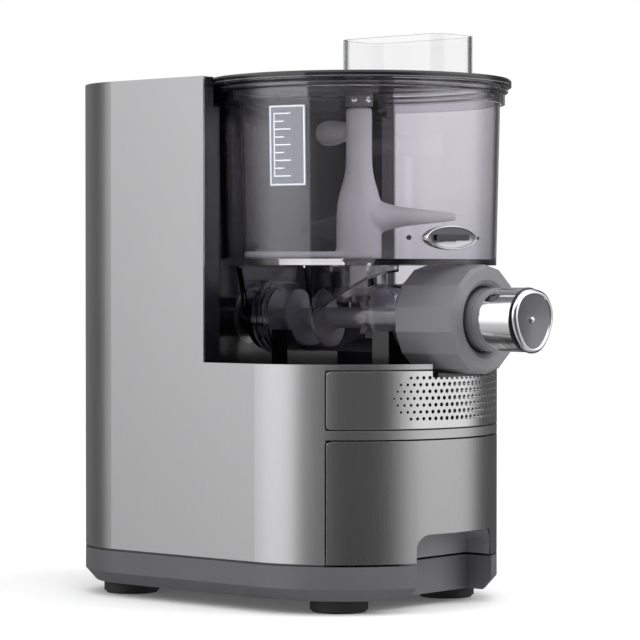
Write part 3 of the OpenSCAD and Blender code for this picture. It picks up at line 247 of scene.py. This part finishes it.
skin_metal = brushed("skin_metal", (0.53, 0.526, 0.536), 0.32, strength=0.02, spread=0.015)
front_metal = brushed("front_metal", (0.46, 0.455, 0.46), 0.27, strength=0.01, spread=0.01)
grille_metal = brushed("grille_metal", (0.70, 0.70, 0.705), 0.17, strength=0.03, spread=0.02)
base_plastic = moulded("base_plastic", (0.10, 0.098, 0.105), 0.36)
dark_plastic = moulded("dark_plastic", (0.035, 0.035, 0.038), 0.5)
recess_plastic = moulded("recess_plastic", (0.17, 0.165, 0.175), 0.4)
black_gloss = moulded("black_gloss", (0.006, 0.006, 0.008), 0.16, strength=0.02, coat=0.3)
deck_black = moulded("deck_black", (0.004, 0.004, 0.005), 0.22, strength=0.03, coat=0.2)
rubber = moulded("rubber", (0.022, 0.022, 0.023), 0.7, grain=1400.0, strength=0.12)
nut_plastic = moulded("nut_plastic", (0.165, 0.162, 0.17), 0.36, grain=1600.0, strength=0.06, edge=0.4)
paddle_plastic = moulded("paddle_plastic", (0.93, 0.92, 0.93), 0.34, strength=0.04, edge=0.4)
screw_plastic = moulded("screw_plastic", (0.62, 0.62, 0.63), 0.35, strength=0.03, edge=0.3)
button_plastic = moulded("button_plastic", (0.48, 0.485, 0.5), 0.3, metallic=0.6, edge=0.4)
gear_plastic = moulded("gear_plastic", (0.72, 0.7, 0.62), 0.45)
board_green = moulded("board_green", (0.02, 0.12, 0.05), 0.35, coat=0.3)
part_dark = moulded("part_dark", (0.08, 0.08, 0.09), 0.4)
seal_rubber = moulded("seal_rubber", (0.55, 0.55, 0.57), 0.6)
motor_paint = moulded("motor_paint", (0.16, 0.165, 0.175), 0.35, metallic=0.7)
cast_metal = moulded("cast_metal", (0.5, 0.5, 0.51), 0.45, metallic=0.9, grain=600.0, strength=0.15)
chrome = polished("chrome")
steel = polished("steel", (0.7, 0.7, 0.71), 0.18)
brass = polished("brass", (0.78, 0.62, 0.3), 0.2)
smoked = pass_light(tank_material(), (0.8, 0.79, 0.82))
hub_plastic = moulded("hub_plastic", (0.3, 0.3, 0.31), 0.35)
cup_clear = clear("cup_clear", (0.93, 0.93, 0.935), 0.015, edge=0.5)
frosted = clear("frosted", (0.80, 0.83, 0.90), 0.45, wave=0.1, through=0.8)
face_metal = brushed("face_metal", (0.19, 0.188, 0.195), 0.30, grain=(300, 300, 300), spread=0.03)
flap_plastic = moulded("flap_plastic", (0.055, 0.055, 0.06), 0.35, edge=0.2)
hollow_gloss = moulded("hollow_gloss", (0.34, 0.34, 0.36), 0.18, strength=0.02, metallic=0.8, edge=0.0)
tick_white = moulded("tick_white", (0.82, 0.85, 0.9), 0.5)


def lid_material():
    """Smoked plastic below, with a black gloss ring round the lid's top edge."""
    t = Tree("lid_smoked")
    tex = t.add("ShaderNodeTexCoord")
    split = t.add("ShaderNodeSeparateXYZ")
    t.link(tex.outputs["Object"], split.inputs[0])
    high = t.add("ShaderNodeMapRange")
    high.inputs["From Min"].default_value = 0.3435
    high.inputs["From Max"].default_value = 0.3442
    t.link(split.outputs["Z"], high.inputs["Value"])
    cloud = t.noise(tex.outputs["Object"], 22.0, 2.0, 0.5)
    tone = t.ramp(high.outputs[0], [(0.0, (0.74, 0.73, 0.76)), (1.0, (0.010, 0.010, 0.012))])
    t.link(tone, t.shader.inputs["Base Color"])
    t.link(t.span(high.outputs[0], 1.0, 0.1, 0, 1), t.shader.inputs["Transmission Weight"])
    t.link(t.span(cloud, 0.02, 0.03), t.shader.inputs["Roughness"])
    t.set(IOR=1.58)
    return pass_light(t.material, (0.5, 0.5, 0.52))


lid_smoked = lid_material()

LOOKS = {
    skin_metal: "side_skin",
    front_metal: "drawer_front",
    grille_metal: "grille_panel",
    base_plastic: "base_tray",
    dark_plastic: "die_ring drawer_rails board_posts rocker_frame rocker inlet_socket fan inner_frame",
    recess_plastic: "drawer_box",
    black_gloss: "tower_face top_cover display_window",
    deck_black: "barrel_saddles",
    rubber: "feet latch_marks",
    nut_plastic: "nut",
    paddle_plastic: "paddle",
    screw_plastic: "screw",
    button_plastic: "button_power button_mode button_less button_more",
    gear_plastic: "output_gear lay_wheel screw_pinion paddle_crown",
    board_green: "control_board main_board",
    part_dark: "board_parts",
    seal_rubber: "lid_seal",
    motor_paint: "motor drive_posts",
    cast_metal: "gearbox_case gearbox_cover",
    chrome: "die_head cap_rim latch_bezel cap_stud",
    steel: "case_screws output_shaft layshaft rotor",
    brass: "inlet_pins",
    face_metal: "cap_face",
    smoked: "tank",
    lid_smoked: "lid",
    hub_plastic: "lid_hub latch_bar latch_dish",
    cup_clear: "cup",
    tick_white: "level_scale",
}
for material, names in LOOKS.items():
    for name in names.split():
        mesh = nodes[name].data
        mesh.materials.clear()
        mesh.materials.append(material)

# ---------------------------------------------------------------- light, floor and camera


def floor_material():
    t = Tree("floor_pale")
    t.tree.nodes.remove(t.shader)
    cloud = t.noise(t.coords(), 3.0, 2.0, 0.5)
    diffuse = t.add("ShaderNodeBsdfDiffuse")
    t.link(t.ramp(cloud, [(0.0, (0.9, 0.9, 0.9)), (1.0, (0.92, 0.92, 0.92))]), diffuse.inputs["Color"])
    glow = t.add("ShaderNodeEmission")
    path = t.add("ShaderNodeLightPath")
    level = t.add("ShaderNodeMath", operation="MULTIPLY")
    level.inputs[1].default_value = 0.08
    t.link(path.outputs["Is Camera Ray"], level.inputs[0])
    t.link(level.outputs[0], glow.inputs["Strength"])
    both = t.add("ShaderNodeAddShader")
    t.link(diffuse.outputs[0], both.inputs[0])
    t.link(glow.outputs[0], both.inputs[1])
    t.link(both.outputs[0], t.out.inputs["Surface"])
    return t.material


def build_floor():
    mesh = bpy.data.meshes.new("floor")
    bm = bmesh.new()
    bmesh.ops.create_grid(bm, x_segments=8, y_segments=8, size=6.0)
    bm.to_mesh(mesh)
    bm.free()
    floor = bpy.data.objects.new("floor", mesh)
    bpy.context.scene.collection.objects.link(floor)
    mesh.materials.append(floor_material())
    floor.visible_glossy = False


def build_world():
    """A pale studio: soft boxes left and right, a bright ceiling, and a dim side between them."""
    world = bpy.data.worlds.new("studio")
    bpy.context.scene.world = world
    world.use_nodes = True
    tree = world.node_tree
    for node in list(tree.nodes):
        tree.nodes.remove(node)

    def add(kind, **values):
        node = tree.nodes.new(kind)
        for key, value in values.items():
            setattr(node, key, value)
        return node

    def math_node(operation, a, b=None):
        node = add("ShaderNodeMath", operation=operation)
        for i, v in enumerate((a, b)):
            if v is None:
                continue
            if isinstance(v, (int, float)):
                node.inputs[i].default_value = v
            else:
                tree.links.new(v, node.inputs[i])
        return node.outputs[0]

    def step(value, low, high):
        node = add("ShaderNodeMapRange", interpolation_type="SMOOTHSTEP")
        node.inputs["From Min"].default_value = low
        node.inputs["From Max"].default_value = high
        tree.links.new(value, node.inputs["Value"])
        return node.outputs["Result"]

    def times(a, b):
        return math_node("MULTIPLY", a, b)

    def plus(a, b):
        return math_node("ADD", a, b)

    def less(a):
        return math_node("SUBTRACT", 1.0, a)

    tex = add("ShaderNodeTexCoord")
    split = add("ShaderNodeSeparateXYZ")
    tree.links.new(tex.outputs["Generated"], split.inputs[0])
    x, y, z = split.outputs

    # The azimuth in degrees, measured from the left; its seam lies far to the right.
    turn = times(math_node("ARCTAN2", times(y, -1.0), times(x, -1.0)), 180 / math.pi)

    def box(rise, top, fall, end):
        """A soft box between four azimuths in degrees: it rises, stays at one and falls again."""
        return times(step(turn, rise, top), less(step(turn, fall, end)))

    # The left box ends sharply towards the camera; the camera's own side stays dark.
    left = box(-62, -30, -2.5, 0.5)
    spill = box(-5, 0, 12, 40)
    right = box(70, 104, 140, 168)
    back = box(-158, -140, -100, -70)
    white = box(-160, -150, -128, -118)
    upright = less(step(z, 0.55, 0.8))
    ramp = add("ShaderNodeMapRange")
    ramp.inputs["From Min"].default_value = -0.25
    ramp.inputs["From Max"].default_value = 0.25
    ramp.inputs["To Min"].default_value = 0.45
    ramp.inputs["To Max"].default_value = 1.6
    tree.links.new(z, ramp.inputs["Value"])
    bright = plus(times(left, 1.3), times(right, 0.95))
    dim = plus(times(back, 0.12), times(spill, 0.2))
    sides = plus(bright, dim)
    sides = times(times(sides, upright), ramp.outputs[0])
    ceiling = times(step(z, 0.45, 0.75), 1.15)
    level = plus(plus(sides, ceiling), 0.1)

    # The backdrop itself is white, also where it shows through the clear parts.
    path = add("ShaderNodeLightPath")
    through = times(path.outputs["Is Transmission Ray"], times(white, less(step(z, 0.1, 0.2))))
    seen = math_node("MAXIMUM", path.outputs["Is Camera Ray"], through)
    mix = add("ShaderNodeMix", data_type="FLOAT")
    tree.links.new(seen, mix.inputs[0])
    tree.links.new(level, mix.inputs[2])
    mix.inputs[3].default_value = 1.0
    background = add("ShaderNodeBackground")
    background.inputs["Color"].default_value = (1, 1, 1, 1)
    tree.links.new(mix.outputs[0], background.inputs["Strength"])
    out = add("ShaderNodeOutputWorld")
    tree.links.new(background.outputs[0], out.inputs["Surface"])


def build_lamp(name, place, target, size, power):
    data = bpy.data.lights.new(name, "AREA")
    data.shape = "SQUARE"
    data.size = size
    data.energy = power
    lamp = bpy.data.objects.new(name, data)
    bpy.context.scene.collection.objects.link(lamp)
    lamp.location = place
    lamp.rotation_euler = (Vector(target) - Vector(place)).to_track_quat("-Z", "Y").to_euler()
    lamp.visible_glossy = False
    lamp.visible_transmission = False
    return lamp


def build_camera():
    data = bpy.data.cameras.new("camera")
    data.sensor_fit = "HORIZONTAL"
    data.sensor_width = 36.0
    data.lens = 154.27
    camera = bpy.data.objects.new("camera", data)
    bpy.context.scene.collection.objects.link(camera)
    turn = math.radians(49.28)
    down = math.radians(0.93)
    forward = Vector((math.sin(turn) * math.cos(down), math.cos(turn) * math.cos(down), -math.sin(down)))
    camera.location = (-1.4081, -1.2025, 0.2173)
    camera.rotation_euler = forward.to_track_quat("-Z", "Y").to_euler()
    data.clip_start = 0.01
    data.clip_end = 50
    bpy.context.scene.camera = camera


build_floor()
build_world()
build_lamp("key", (-0.9, -1.1, 1.5), (0, 0, 0.15), 1.0, 7.5)
build_lamp("fill", (0.75, -1.2, 0.8), (0, 0, 0.25), 0.9, 9.0)
build_camera()
bpy.context.scene.view_settings.view_transform = "Standard"

# ---------------------------------------------------------------- mesh helpers


def finish_piece(name, bm, material, body, smooth=True):
    """Makes one piece of what was drawn, gives it its material and lets it ride on a body."""
    bmesh.ops.recalc_face_normals(bm, faces=bm.faces)
    mesh = bpy.data.meshes.new(name)
    bm.to_mesh(mesh)
    bm.free()
    for polygon in mesh.polygons:
        polygon.use_smooth = smooth
    mesh.materials.append(material)
    piece = bpy.data.objects.new(name, mesh)
    bpy.context.scene.collection.objects.link(piece)
    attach(piece, body)
    return piece


def by_angle(piece, degrees):
    """Keeps edges sharper than the angle, and shades the rest smoothly."""
    mesh = piece.data
    mesh.update()
    bm = bmesh.new()
    bm.from_mesh(mesh)
    for edge in bm.edges:
        if len(edge.link_faces) == 2 and edge.calc_face_angle(0) > math.radians(degrees):
            edge.smooth = False
    bm.to_mesh(mesh)
    bm.free()
    return piece


def rounded(piece, width_mm, segments=3):
    """Rounds the edges that are sharper than 35 degrees."""
    bevel = piece.modifiers.new("edges", "BEVEL")
    bevel.width = width_mm * MM
    bevel.segments = segments
    bevel.limit_method = "ANGLE"
    bevel.angle_limit = math.radians(35)
    bevel.harden_normals = False
    return piece


def add_lathe(bm, profile, place, axis="Z", steps=96):
    """A closed outline of (radius, height) points turned round an axis through a point."""
    rings = []
    for i in range(steps):
        a = 2 * math.pi * i / steps
        ring = []
        for r, h in profile:
            u, v = r * math.cos(a), r * math.sin(a)
            p = (u, v, h) if axis == "Z" else (u, h, v)
            ring.append(bm.verts.new(row(place[0] + p[0], place[1] + p[1], place[2] + p[2])))
        rings.append(ring)
    n = len(profile)
    for i in range(steps):
        a, b = rings[i], rings[(i + 1) % steps]
        for k in range(n):
            bm.faces.new((a[k], a[(k + 1) % n], b[(k + 1) % n], b[k]))


def join_rings(bm, rings, around=False):
    """Joins rings of points with the same count; around also joins the last ring to the first."""
    verts = [[bm.verts.new(p) for p in ring] for ring in rings]
    for a, b in zip(verts, verts[1:] + (verts[:1] if around else [])):
        n = len(a)
        for k in range(n):
            bm.faces.new((a[k], a[(k + 1) % n], b[(k + 1) % n], b[k]))
    return verts


def add_loft(bm, rings):
    """Joins rings of points and closes both ends."""
    verts = join_rings(bm, rings)
    bm.faces.new(verts[0][::-1])
    bm.faces.new(verts[-1])


def add_dish(bm, rings, tip):
    """Joins rings of points and closes the last one with a point in its middle."""
    last = join_rings(bm, rings)[-1]
    centre = bm.verts.new(tip)
    for k in range(len(last)):
        bm.faces.new((last[k], last[(k + 1) % len(last)], centre))


def circle_ring(centre, side, up, radius, steps):
    """The points of a circle round a centre, in the plane of side and up."""
    angles = [2 * math.pi * k / steps for k in range(steps)]
    return [centre + side * (radius * math.cos(a)) + up * (radius * math.sin(a)) for a in angles]


def add_arm(bm, place, degrees, stations):
    """A round arm level with the table: stations are (distance, radius) from a point of the part."""
    a = math.radians(degrees)
    along = Vector((math.cos(a), math.sin(a), 0))
    side = Vector((-math.sin(a), math.cos(a), 0))
    up = Vector((0, 0, 1))
    add_loft(bm, [circle_ring(row(*place) + along * (d * MM), side, up, r * MM, 32) for d, r in stations])


def round_tip(reach, radius):
    """Stations that close an arm with a rounded end at the given reach."""
    steps = 6
    out = []
    for i in range(1, steps + 1):
        a = math.pi / 2 * i / steps
        out.append((reach - radius + radius * math.sin(a), max(0.05, radius * math.cos(a))))
    return out


# ---------------------------------------------------------------- pieces


def build_paddle():
    """The paddle as one smooth moulding: its arms flow into the bell and the shaft."""
    bm = bmesh.new()
    floor = TANK_FLOOR
    profile = [
        (0.05, AXIS_Z + 17), (6, AXIS_Z + 17), (6, floor + 0.4), (14.9, floor + 0.4), (15.1, floor + 1.5),
        (15.1, floor + 22), (14.9, floor + 32), (14.2, floor + 39), (12.6, floor + 46), (10.8, floor + 52),
        (9.6, floor + 57), (8.9, floor + 63), (8.7, floor + 70), (8.7, 327.6), (8.2, 329), (4, 329),
        (4, 337.5), (0.05, 337.5),
    ]
    add_lathe(bm, profile, (0, TANK_Y, 0), steps=72)
    middle = [(0, 13.5), (10, 12.6), (15, 10.4), (20, 8.6), (28, 6.9), (40, 5.4), (52, 4.1), (62, 3.0)]
    add_arm(bm, (0, TANK_Y, MIDDLE_ARM_Z), MIDDLE_ARM_TURN, middle + round_tip(66, 2.9))
    upper = [(0, 7.2), (8, 6.6), (14, 5.7), (22, 6.4), (34, 7.8), (44, 8.7)]
    add_arm(bm, (0, TANK_Y, UPPER_ARM_Z), UPPER_ARM_TURN, upper + round_tip(58.6, 9.0))
    a = math.radians(BLADE_TURN)
    along = Vector((math.cos(a), math.sin(a), 0))
    side = Vector((-math.sin(a), math.cos(a), 0))
    outline = [(0, -12), (69, -10), (75, -8), (77, -4), (77, 3), (74, 6), (63, 8), (30, 11), (0, 13)]
    rings = []
    for z, grow in ((1.0, -0.7), (1.8, 0), (4.2, 0), (5.4, -0.9)):
        ring = []
        for d, w in outline:
            reach = d + (grow if d > 10 else 0)
            wide = w + (grow if w > 0 else -grow)
            ring.append(row(0, TANK_Y, floor + z) + along * (reach * MM) + side * (wide * MM))
        rings.append(ring)
    add_loft(bm, rings)
    piece = finish_piece("paddle_moulding", bm, paddle_plastic, "paddle")
    remesh = piece.modifiers.new("join", "REMESH")
    remesh.mode = "VOXEL"
    remesh.voxel_size = 0.0011
    remesh.use_smooth_shade = True
    smooth = piece.modifiers.new("flow", "SMOOTH")
    smooth.factor = 0.5
    smooth.iterations = 7
    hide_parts("paddle")


def add_screw(bm, y0, y1):
    """A flight with rounded flanks, wound round its core from y0 to y1."""
    core, rim, pitch = 7.0, 19.6, 22.0
    crest, flank = 27, 22

    def reach(degrees):
        d = abs((degrees - 30 + 180) % 360 - 180)
        if d < crest:
            return rim - 0.5 * (d / crest) ** 6
        t = min(1.0, (d - crest) / flank)
        return core + (rim - 0.5 - core) * (1 - t * t * (3 - 2 * t))

    count = int(round((y1 - y0) / 0.75))
    angles = [a * 3.0 for a in range(120)]
    rings = []
    for i in range(count + 1):
        y = y0 + (y1 - y0) * i / count
        turn = 360 * (y1 - y) / pitch
        fade = min(1.0, (y - y0) / 3.0 + 0.25, (y1 - y) / 3.0 + 0.25)
        ring = []
        for a in angles:
            r = core + (reach(a) - core) * fade
            b = math.radians(a + turn)
            ring.append(row(r * math.cos(b), y, AXIS_Z + r * math.sin(b)))
        rings.append(ring)
    add_loft(bm, rings)


def build_screw():
    bm = bmesh.new()
    add_screw(bm, 14, 74)
    add_screw(bm, -101, -22)
    for r, y0, y1 in ((7.0, -22.4, 14.4), (5.0, 73.5, 79.0), (4.0, -141.5, -100.5)):
        add_lathe(bm, [(0.05, y0), (r, y0), (r, y1), (0.05, y1)], (0, 0, AXIS_Z), "Y", 48)
    hexagon = []
    for y, r in ((78.8, 6.8), (90.2, 6.8), (91.0, 6.1)):
        corners = [math.radians(60 * k) for k in range(6)]
        hexagon.append([row(r * math.cos(a), y, AXIS_Z + r * math.sin(a)) for a in corners])
    add_loft(bm, hexagon)
    piece = finish_piece("screw_moulding", bm, screw_plastic, "screw")
    by_angle(piece, 50)
    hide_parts("screw")


def build_level_panel():
    """A thin frosted plate behind the tick marks, which follows the tank's wall."""
    nx, nz = 24, 12
    z0 = LEVEL_Z - LEVEL_H / 2
    bm = bmesh.new()
    grids = []
    for r in (0.06, 0.32):
        grid = []
        for j in range(nz + 1):
            z = z0 + LEVEL_H * j / nz
            line = []
            for i in range(nx + 1):
                a = math.radians(LEVEL_TURN) + (i / nx - 0.5) * LEVEL_W / 92.0
                q = tank_r(z) + r
                line.append(bm.verts.new(row(q * math.cos(a), TANK_Y + q * math.sin(a), z)))
            grid.append(line)
        grids.append(grid)
    a, b = grids
    for j in range(nz):
        for i in range(nx):
            bm.faces.new((a[j][i], a[j + 1][i], a[j + 1][i + 1], a[j][i + 1]))
            bm.faces.new((b[j][i], b[j][i + 1], b[j + 1][i + 1], b[j + 1][i]))
    for j in range(nz):
        bm.faces.new((a[j][0], b[j][0], b[j + 1][0], a[j + 1][0]))
        bm.faces.new((a[j][nx], a[j + 1][nx], b[j + 1][nx], b[j][nx]))
    for i in range(nx):
        bm.faces.new((a[0][i], a[0][i + 1], b[0][i + 1], b[0][i]))
        bm.faces.new((a[nz][i], b[nz][i], b[nz][i + 1], a[nz][i + 1]))
    by_angle(finish_piece("level_panel", bm, frosted, "tank"), 50)


def build_rings():
    """Rounded rings at the rear end of the barrel."""
    thick = 1.5
    turns = [k * math.pi / 6 for k in range(12)]
    for i, y in enumerate((58, 63.5, 69)):
        bm = bmesh.new()
        middle = BARREL_R + thick
        profile = [(middle + thick * math.cos(t), y + thick * math.sin(t)) for t in turns]
        add_lathe(bm, profile, (0, 0, AXIS_Z), "Y", 96)
        finish_piece(f"barrel_ring_{i + 1}", bm, smoked, "tank")


def build_ribs():
    """Two curved ribs below the tank's floor, one on each side, from the hopper to the front."""
    place, half = 25.0, 0.8
    low = [(16, 191.6), (10, 194.6), (0, 200.4), (-15, 208.4), (-32, 215.6), (-45, 219.0), (-58, 220.6)]
    outline = low + [(-58, 223.9), (16, 223.9)]
    for side, name in ((-1, "left"), (1, "right")):
        bm = bmesh.new()
        add_loft(bm, [[row(side * (place + d), y, z) for y, z in outline] for d in (-half, half)])
        rounded(finish_piece(f"floor_rib_{name}", bm, smoked, "tank", False), 0.3, 2)
        bm = bmesh.new()
        rings = []
        for i, (y, z) in enumerate(low):
            y0, z0 = low[max(0, i - 1)]
            y1, z1 = low[min(len(low) - 1, i + 1)]
            along = Vector((0, y1 - y0, z1 - z0)).normalized()
            up = along.cross(Vector((1, 0, 0)))
            rings.append(circle_ring(row(side * place, y, z), Vector((1, 0, 0)), up, 0.9 * MM, 12))
        add_loft(bm, rings)
        finish_piece(f"rib_edge_{name}", bm, cup_clear, "tank")


def build_nut():
    """The nut's flats with rounded edges, and a funnel in its front round the die head."""
    half_turn = math.pi / NUT_SIDES
    steps = NUT_SIDES * 6
    corner = NUT_FLATS / 2 / math.cos(half_turn)
    collar, inside, floor = 25.4, 25.9, 4.0

    def ring(y, r, facets):
        out = []
        for k in range(steps):
            a = 2 * math.pi * k / steps + half_turn
            q = r
            if facets:
                local = (a - half_turn) % (2 * half_turn) - half_turn
                q = r * math.cos(half_turn) / math.cos(local)
            out.append(row(q * math.cos(a), y, AXIS_Z + q * math.sin(a)))
        return out

    outside = [
        (NUT_REAR, corner - 1.2), (NUT_REAR - 1.2, corner),
        (NUT_FRONT + 2.2, corner), (NUT_FRONT + 0.5, corner - 1.6), (NUT_FRONT, corner - 2.2),
    ]
    funnel = [
        (NUT_FRONT, 25.6), (NUT_FRONT + 1.4, 23.3), (NUT_FRONT + 2.8, 22.1), (NUT_FRONT + floor, 21.8),
        (NUT_FRONT + floor, inside), (NUT_REAR - floor, inside),
    ]
    rings = [ring(y, collar, False) for y in (NUT_REAR - floor, NUT_REAR)]
    rings += [ring(y, r, True) for y, r in outside]
    rings += [ring(y, r, False) for y, r in funnel]
    bm = bmesh.new()
    join_rings(bm, rings, True)
    piece = finish_piece("nut_moulding", bm, nut_plastic, "nut")
    by_angle(piece, 18)
    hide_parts("nut")


def build_hub_studs():
    """Two small screw heads on the hub below the lid."""
    profile = ((8.9, 2.3), (9.9, 2.3), (10.4, 1.9), (10.6, 1.2))
    for i, degrees in enumerate((HUB_TURN - 30, HUB_TURN + 30)):
        bm = bmesh.new()
        a = math.radians(degrees)
        out = Vector((math.cos(a), math.sin(a), 0))
        side = Vector((-math.sin(a), math.cos(a), 0))
        up = Vector((0, 0, 1))
        middle = row(0, TANK_Y, HUB_Z)
        add_loft(bm, [circle_ring(middle + out * (d * MM), side, up, r * MM, 20) for d, r in profile])
        finish_piece(f"hub_stud_{i + 1}", bm, chrome, "lid")


def latch_point(r, u, v):
    """A point of the latch: r out from the tank's axis, u to the side, v up from its middle."""
    a = math.radians(LATCH_TURN)
    x = r * math.cos(a) - u * math.sin(a)
    y = r * math.sin(a) + u * math.cos(a)
    return row(x, TANK_Y + y, LATCH_Z + v)


def latch_oval(grow, low=None):
    """The latch's outline as (u, v) points, all of it or what lies above a level."""
    steps = 96
    w, h = LATCH_HALF_W + grow, LATCH_HALF_H + grow
    angles = [2 * math.pi * k / steps for k in range(steps)]
    points = [(w * math.cos(a), h * math.sin(a)) for a in angles]
    if low is None:
        return points
    reach = w * math.sqrt(1 - (low / h) ** 2)
    return [(reach, low)] + [p for p in points if p[1] > low] + [(-reach, low)]


def on_tank(u, v):
    """How far out the tank's wall lies below a point of the latch."""
    return math.sqrt((tank_r(LATCH_Z + v) + 0.08) ** 2 - u * u)


def latch_plate(name, outline, depths, material, body, width_mm, node):
    """A flat plate of the latch between two depths below its front."""
    bm = bmesh.new()
    add_loft(bm, [[latch_point(LATCH_OUT - d, u, v) for u, v in outline] for d in depths])
    piece = finish_piece(name, bm, material, body, False)
    if width_mm:
        rounded(piece, width_mm)
    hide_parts(node)


def build_latch():
    """A slim rounded rim, a hollow with a flap over its upper half, and a thin bar in the slot. The slot
    is a black strip across the whole hollow: partly the groove the bar runs in, partly painted shade below
    the flap.
    """
    inner = -1.15
    section = ((0.0, 0.7), (-0.2, 0.2), (-0.55, 0.0), (-0.9, 0.2), (-1.1, 0.7), (inner, 1.6))
    rings = [[latch_point(on_tank(u, v), u, v) for u, v in latch_oval(0.0)]]
    for grow, depth in section:
        rings.append([latch_point(LATCH_OUT - depth, u, v) for u, v in latch_oval(grow)])
    rings.append([latch_point(on_tank(u, v), u, v) for u, v in latch_oval(inner)])
    bm = bmesh.new()
    join_rings(bm, rings, True)
    rim = finish_piece("latch_rim", bm, chrome, "tank")
    by_angle(rim, 50)
    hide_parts("latch_bezel")

    lift, count = 0.15, 12
    rings = []
    for i in range(count):
        share = 1 - i / count
        ring = []
        for u, v in latch_oval(inner):
            u, v = u * share, v * share
            wall = on_tank(u, v) + lift
            ring.append(latch_point(wall + (LATCH_OUT - 1.0 - wall) * share ** 2.2, u, v))
        rings.append(ring)
    bm = bmesh.new()
    add_dish(bm, rings, latch_point(on_tank(0, 0) + lift, 0, 0))
    hollow = finish_piece("latch_hollow", bm, hollow_gloss, "tank")
    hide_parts("latch_dish")

    latch_plate("latch_flap", latch_oval(-1.2, 1.9), (1.9, 0.9), flap_plastic, "tank", 0.35, "latch_dish")
    # Painted shade: the slot strip is black across the whole width, so it darkens the band below the flap
    # as well as the groove the bar runs in.
    slot = [(-18.2, -1.6), (18.2, -1.6), (18.2, 1.9), (-18.2, 1.9)]
    latch_plate("latch_slot_shade", slot, (2.6, 2.1), black_gloss, "tank", 0, "latch_dish")
    bar = [
        (7, -1.4), (7, 1.4), (6.4, 1.8), (-12.4, 1.8), (-13, 1.4), (-13, -1.4), (-12.4, -1.8), (6.4, -1.8),
    ]
    latch_plate("latch_slider", bar, (2.0, 0.5), black_gloss, "latch", 0.4, "latch_bar")


def cap_reach(degrees, grow):
    """How far the front cap's rounded three-sided outline lies from its middle."""
    off = 12
    reach = HEAD_R + 0.9 + grow
    for turn in (-90, 30, 150):
        d = math.radians(degrees - turn)
        side = math.sqrt((HEAD_R + 11.2 + grow) ** 2 - (off * math.sin(d)) ** 2)
        reach = min(reach, off * math.cos(d) + side)
    return reach


def cap_ring(y, grow):
    """The cap's outline at a place along Y, with its corners eased."""
    steps, passes = 120, 10
    ring = []
    for k in range(steps):
        degrees = 360 * k / steps
        a = math.radians(degrees)
        r = cap_reach(degrees, grow)
        ring.append(row(r * math.cos(a), y, AXIS_Z + r * math.sin(a)))
    for _ in range(passes):
        ring = [(ring[k - 1] + ring[k] * 2 + ring[(k + 1) % steps]) / 4 for k in range(steps)]
    return ring


def build_cap():
    """The front cap: a rounded chrome rim, a hollow face, a domed stud and the dark neck behind."""
    axis = (0, 0, AXIS_Z)
    rim_section = [
        (3.5, -4.0), (3.5, -0.6), (3.25, -0.15), (2.9, 0.0), (2.3, 0.0), (1.6, -0.15), (0.9, -0.6),
        (0.35, -1.3), (0.06, -2.1), (0.06, -2.7), (0.4, -3.2), (1.0, -3.5), (2.8, -4.6),
    ]
    bm = bmesh.new()
    join_rings(bm, [cap_ring(CAP_FRONT + depth, grow) for depth, grow in rim_section], True)
    rim = finish_piece("cap_edge", bm, chrome, "die_set")
    by_angle(rim, 50)
    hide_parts("cap_rim")

    edge_depth, middle_depth, count = 1.1, 2.6, 16
    outline = cap_ring(0, -3.45)
    rings = []
    for i in range(count):
        share = 1 - i / count
        depth = edge_depth + (middle_depth - edge_depth) * (1 - share ** 1.5)
        middle = row(0, CAP_FRONT + depth, AXIS_Z)
        rings.append([
            Vector((middle.x + (p.x - middle.x) * share, middle.y, middle.z + (p.z - middle.z) * share))
            for p in outline
        ])
    bm = bmesh.new()
    add_dish(bm, rings, row(0, CAP_FRONT + middle_depth, AXIS_Z))
    face = finish_piece("cap_hollow", bm, face_metal, "die_set")
    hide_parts("cap_face")

    stud_r, stud_rise, base = 2.3, 1.7, CAP_FRONT + middle_depth
    dome = [(0.05, base), (stud_r, base)]
    for k in range(9):
        a = math.pi / 2 * k / 8
        dome.append((max(0.05, stud_r * math.cos(a)), base - 0.3 - stud_rise * math.sin(a)))
    bm = bmesh.new()
    add_lathe(bm, dome, axis, "Y", 48)
    stud = finish_piece("cap_dome", bm, chrome, "die_set")
    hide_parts("cap_stud")

    rear = CAP_FRONT + 3.3
    profile = [
        (19.0, HEAD_FRONT + 0.6), (HEAD_R + 0.02, HEAD_FRONT + 0.6), (HEAD_R + 0.15, HEAD_FRONT + 0.45),
        (HEAD_R + 0.15, HEAD_FRONT), (HEAD_R - 0.3, HEAD_FRONT - 0.4), (19.4, HEAD_FRONT - 0.5),
        (19.4, rear), (19.0, rear),
    ]
    bm = bmesh.new()
    add_lathe(bm, profile, axis, "Y", 96)
    neck = finish_piece("cap_neck", bm, black_gloss, "die_set")
    by_angle(neck, 50)
    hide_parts("die_ring")

    # Painted shade: a thin black ring inside the nut, behind its funnel, fills the gap round the die head
    # with dark.
    front = NUT_FRONT + 4.0
    bore, rim_r, thick = HEAD_R + 0.02, 25.0, 0.25
    bm = bmesh.new()
    gap_shade = [(bore, front), (rim_r, front), (rim_r, front + thick), (bore, front + thick)]
    add_lathe(bm, gap_shade, axis, "Y", 96)
    finish_piece("die_gap_shade", bm, rubber, "die_set")


build_paddle()
build_screw()
build_level_panel()
build_rings()
build_ribs()
build_hub_studs()
build_nut()
build_latch()
build_cap()
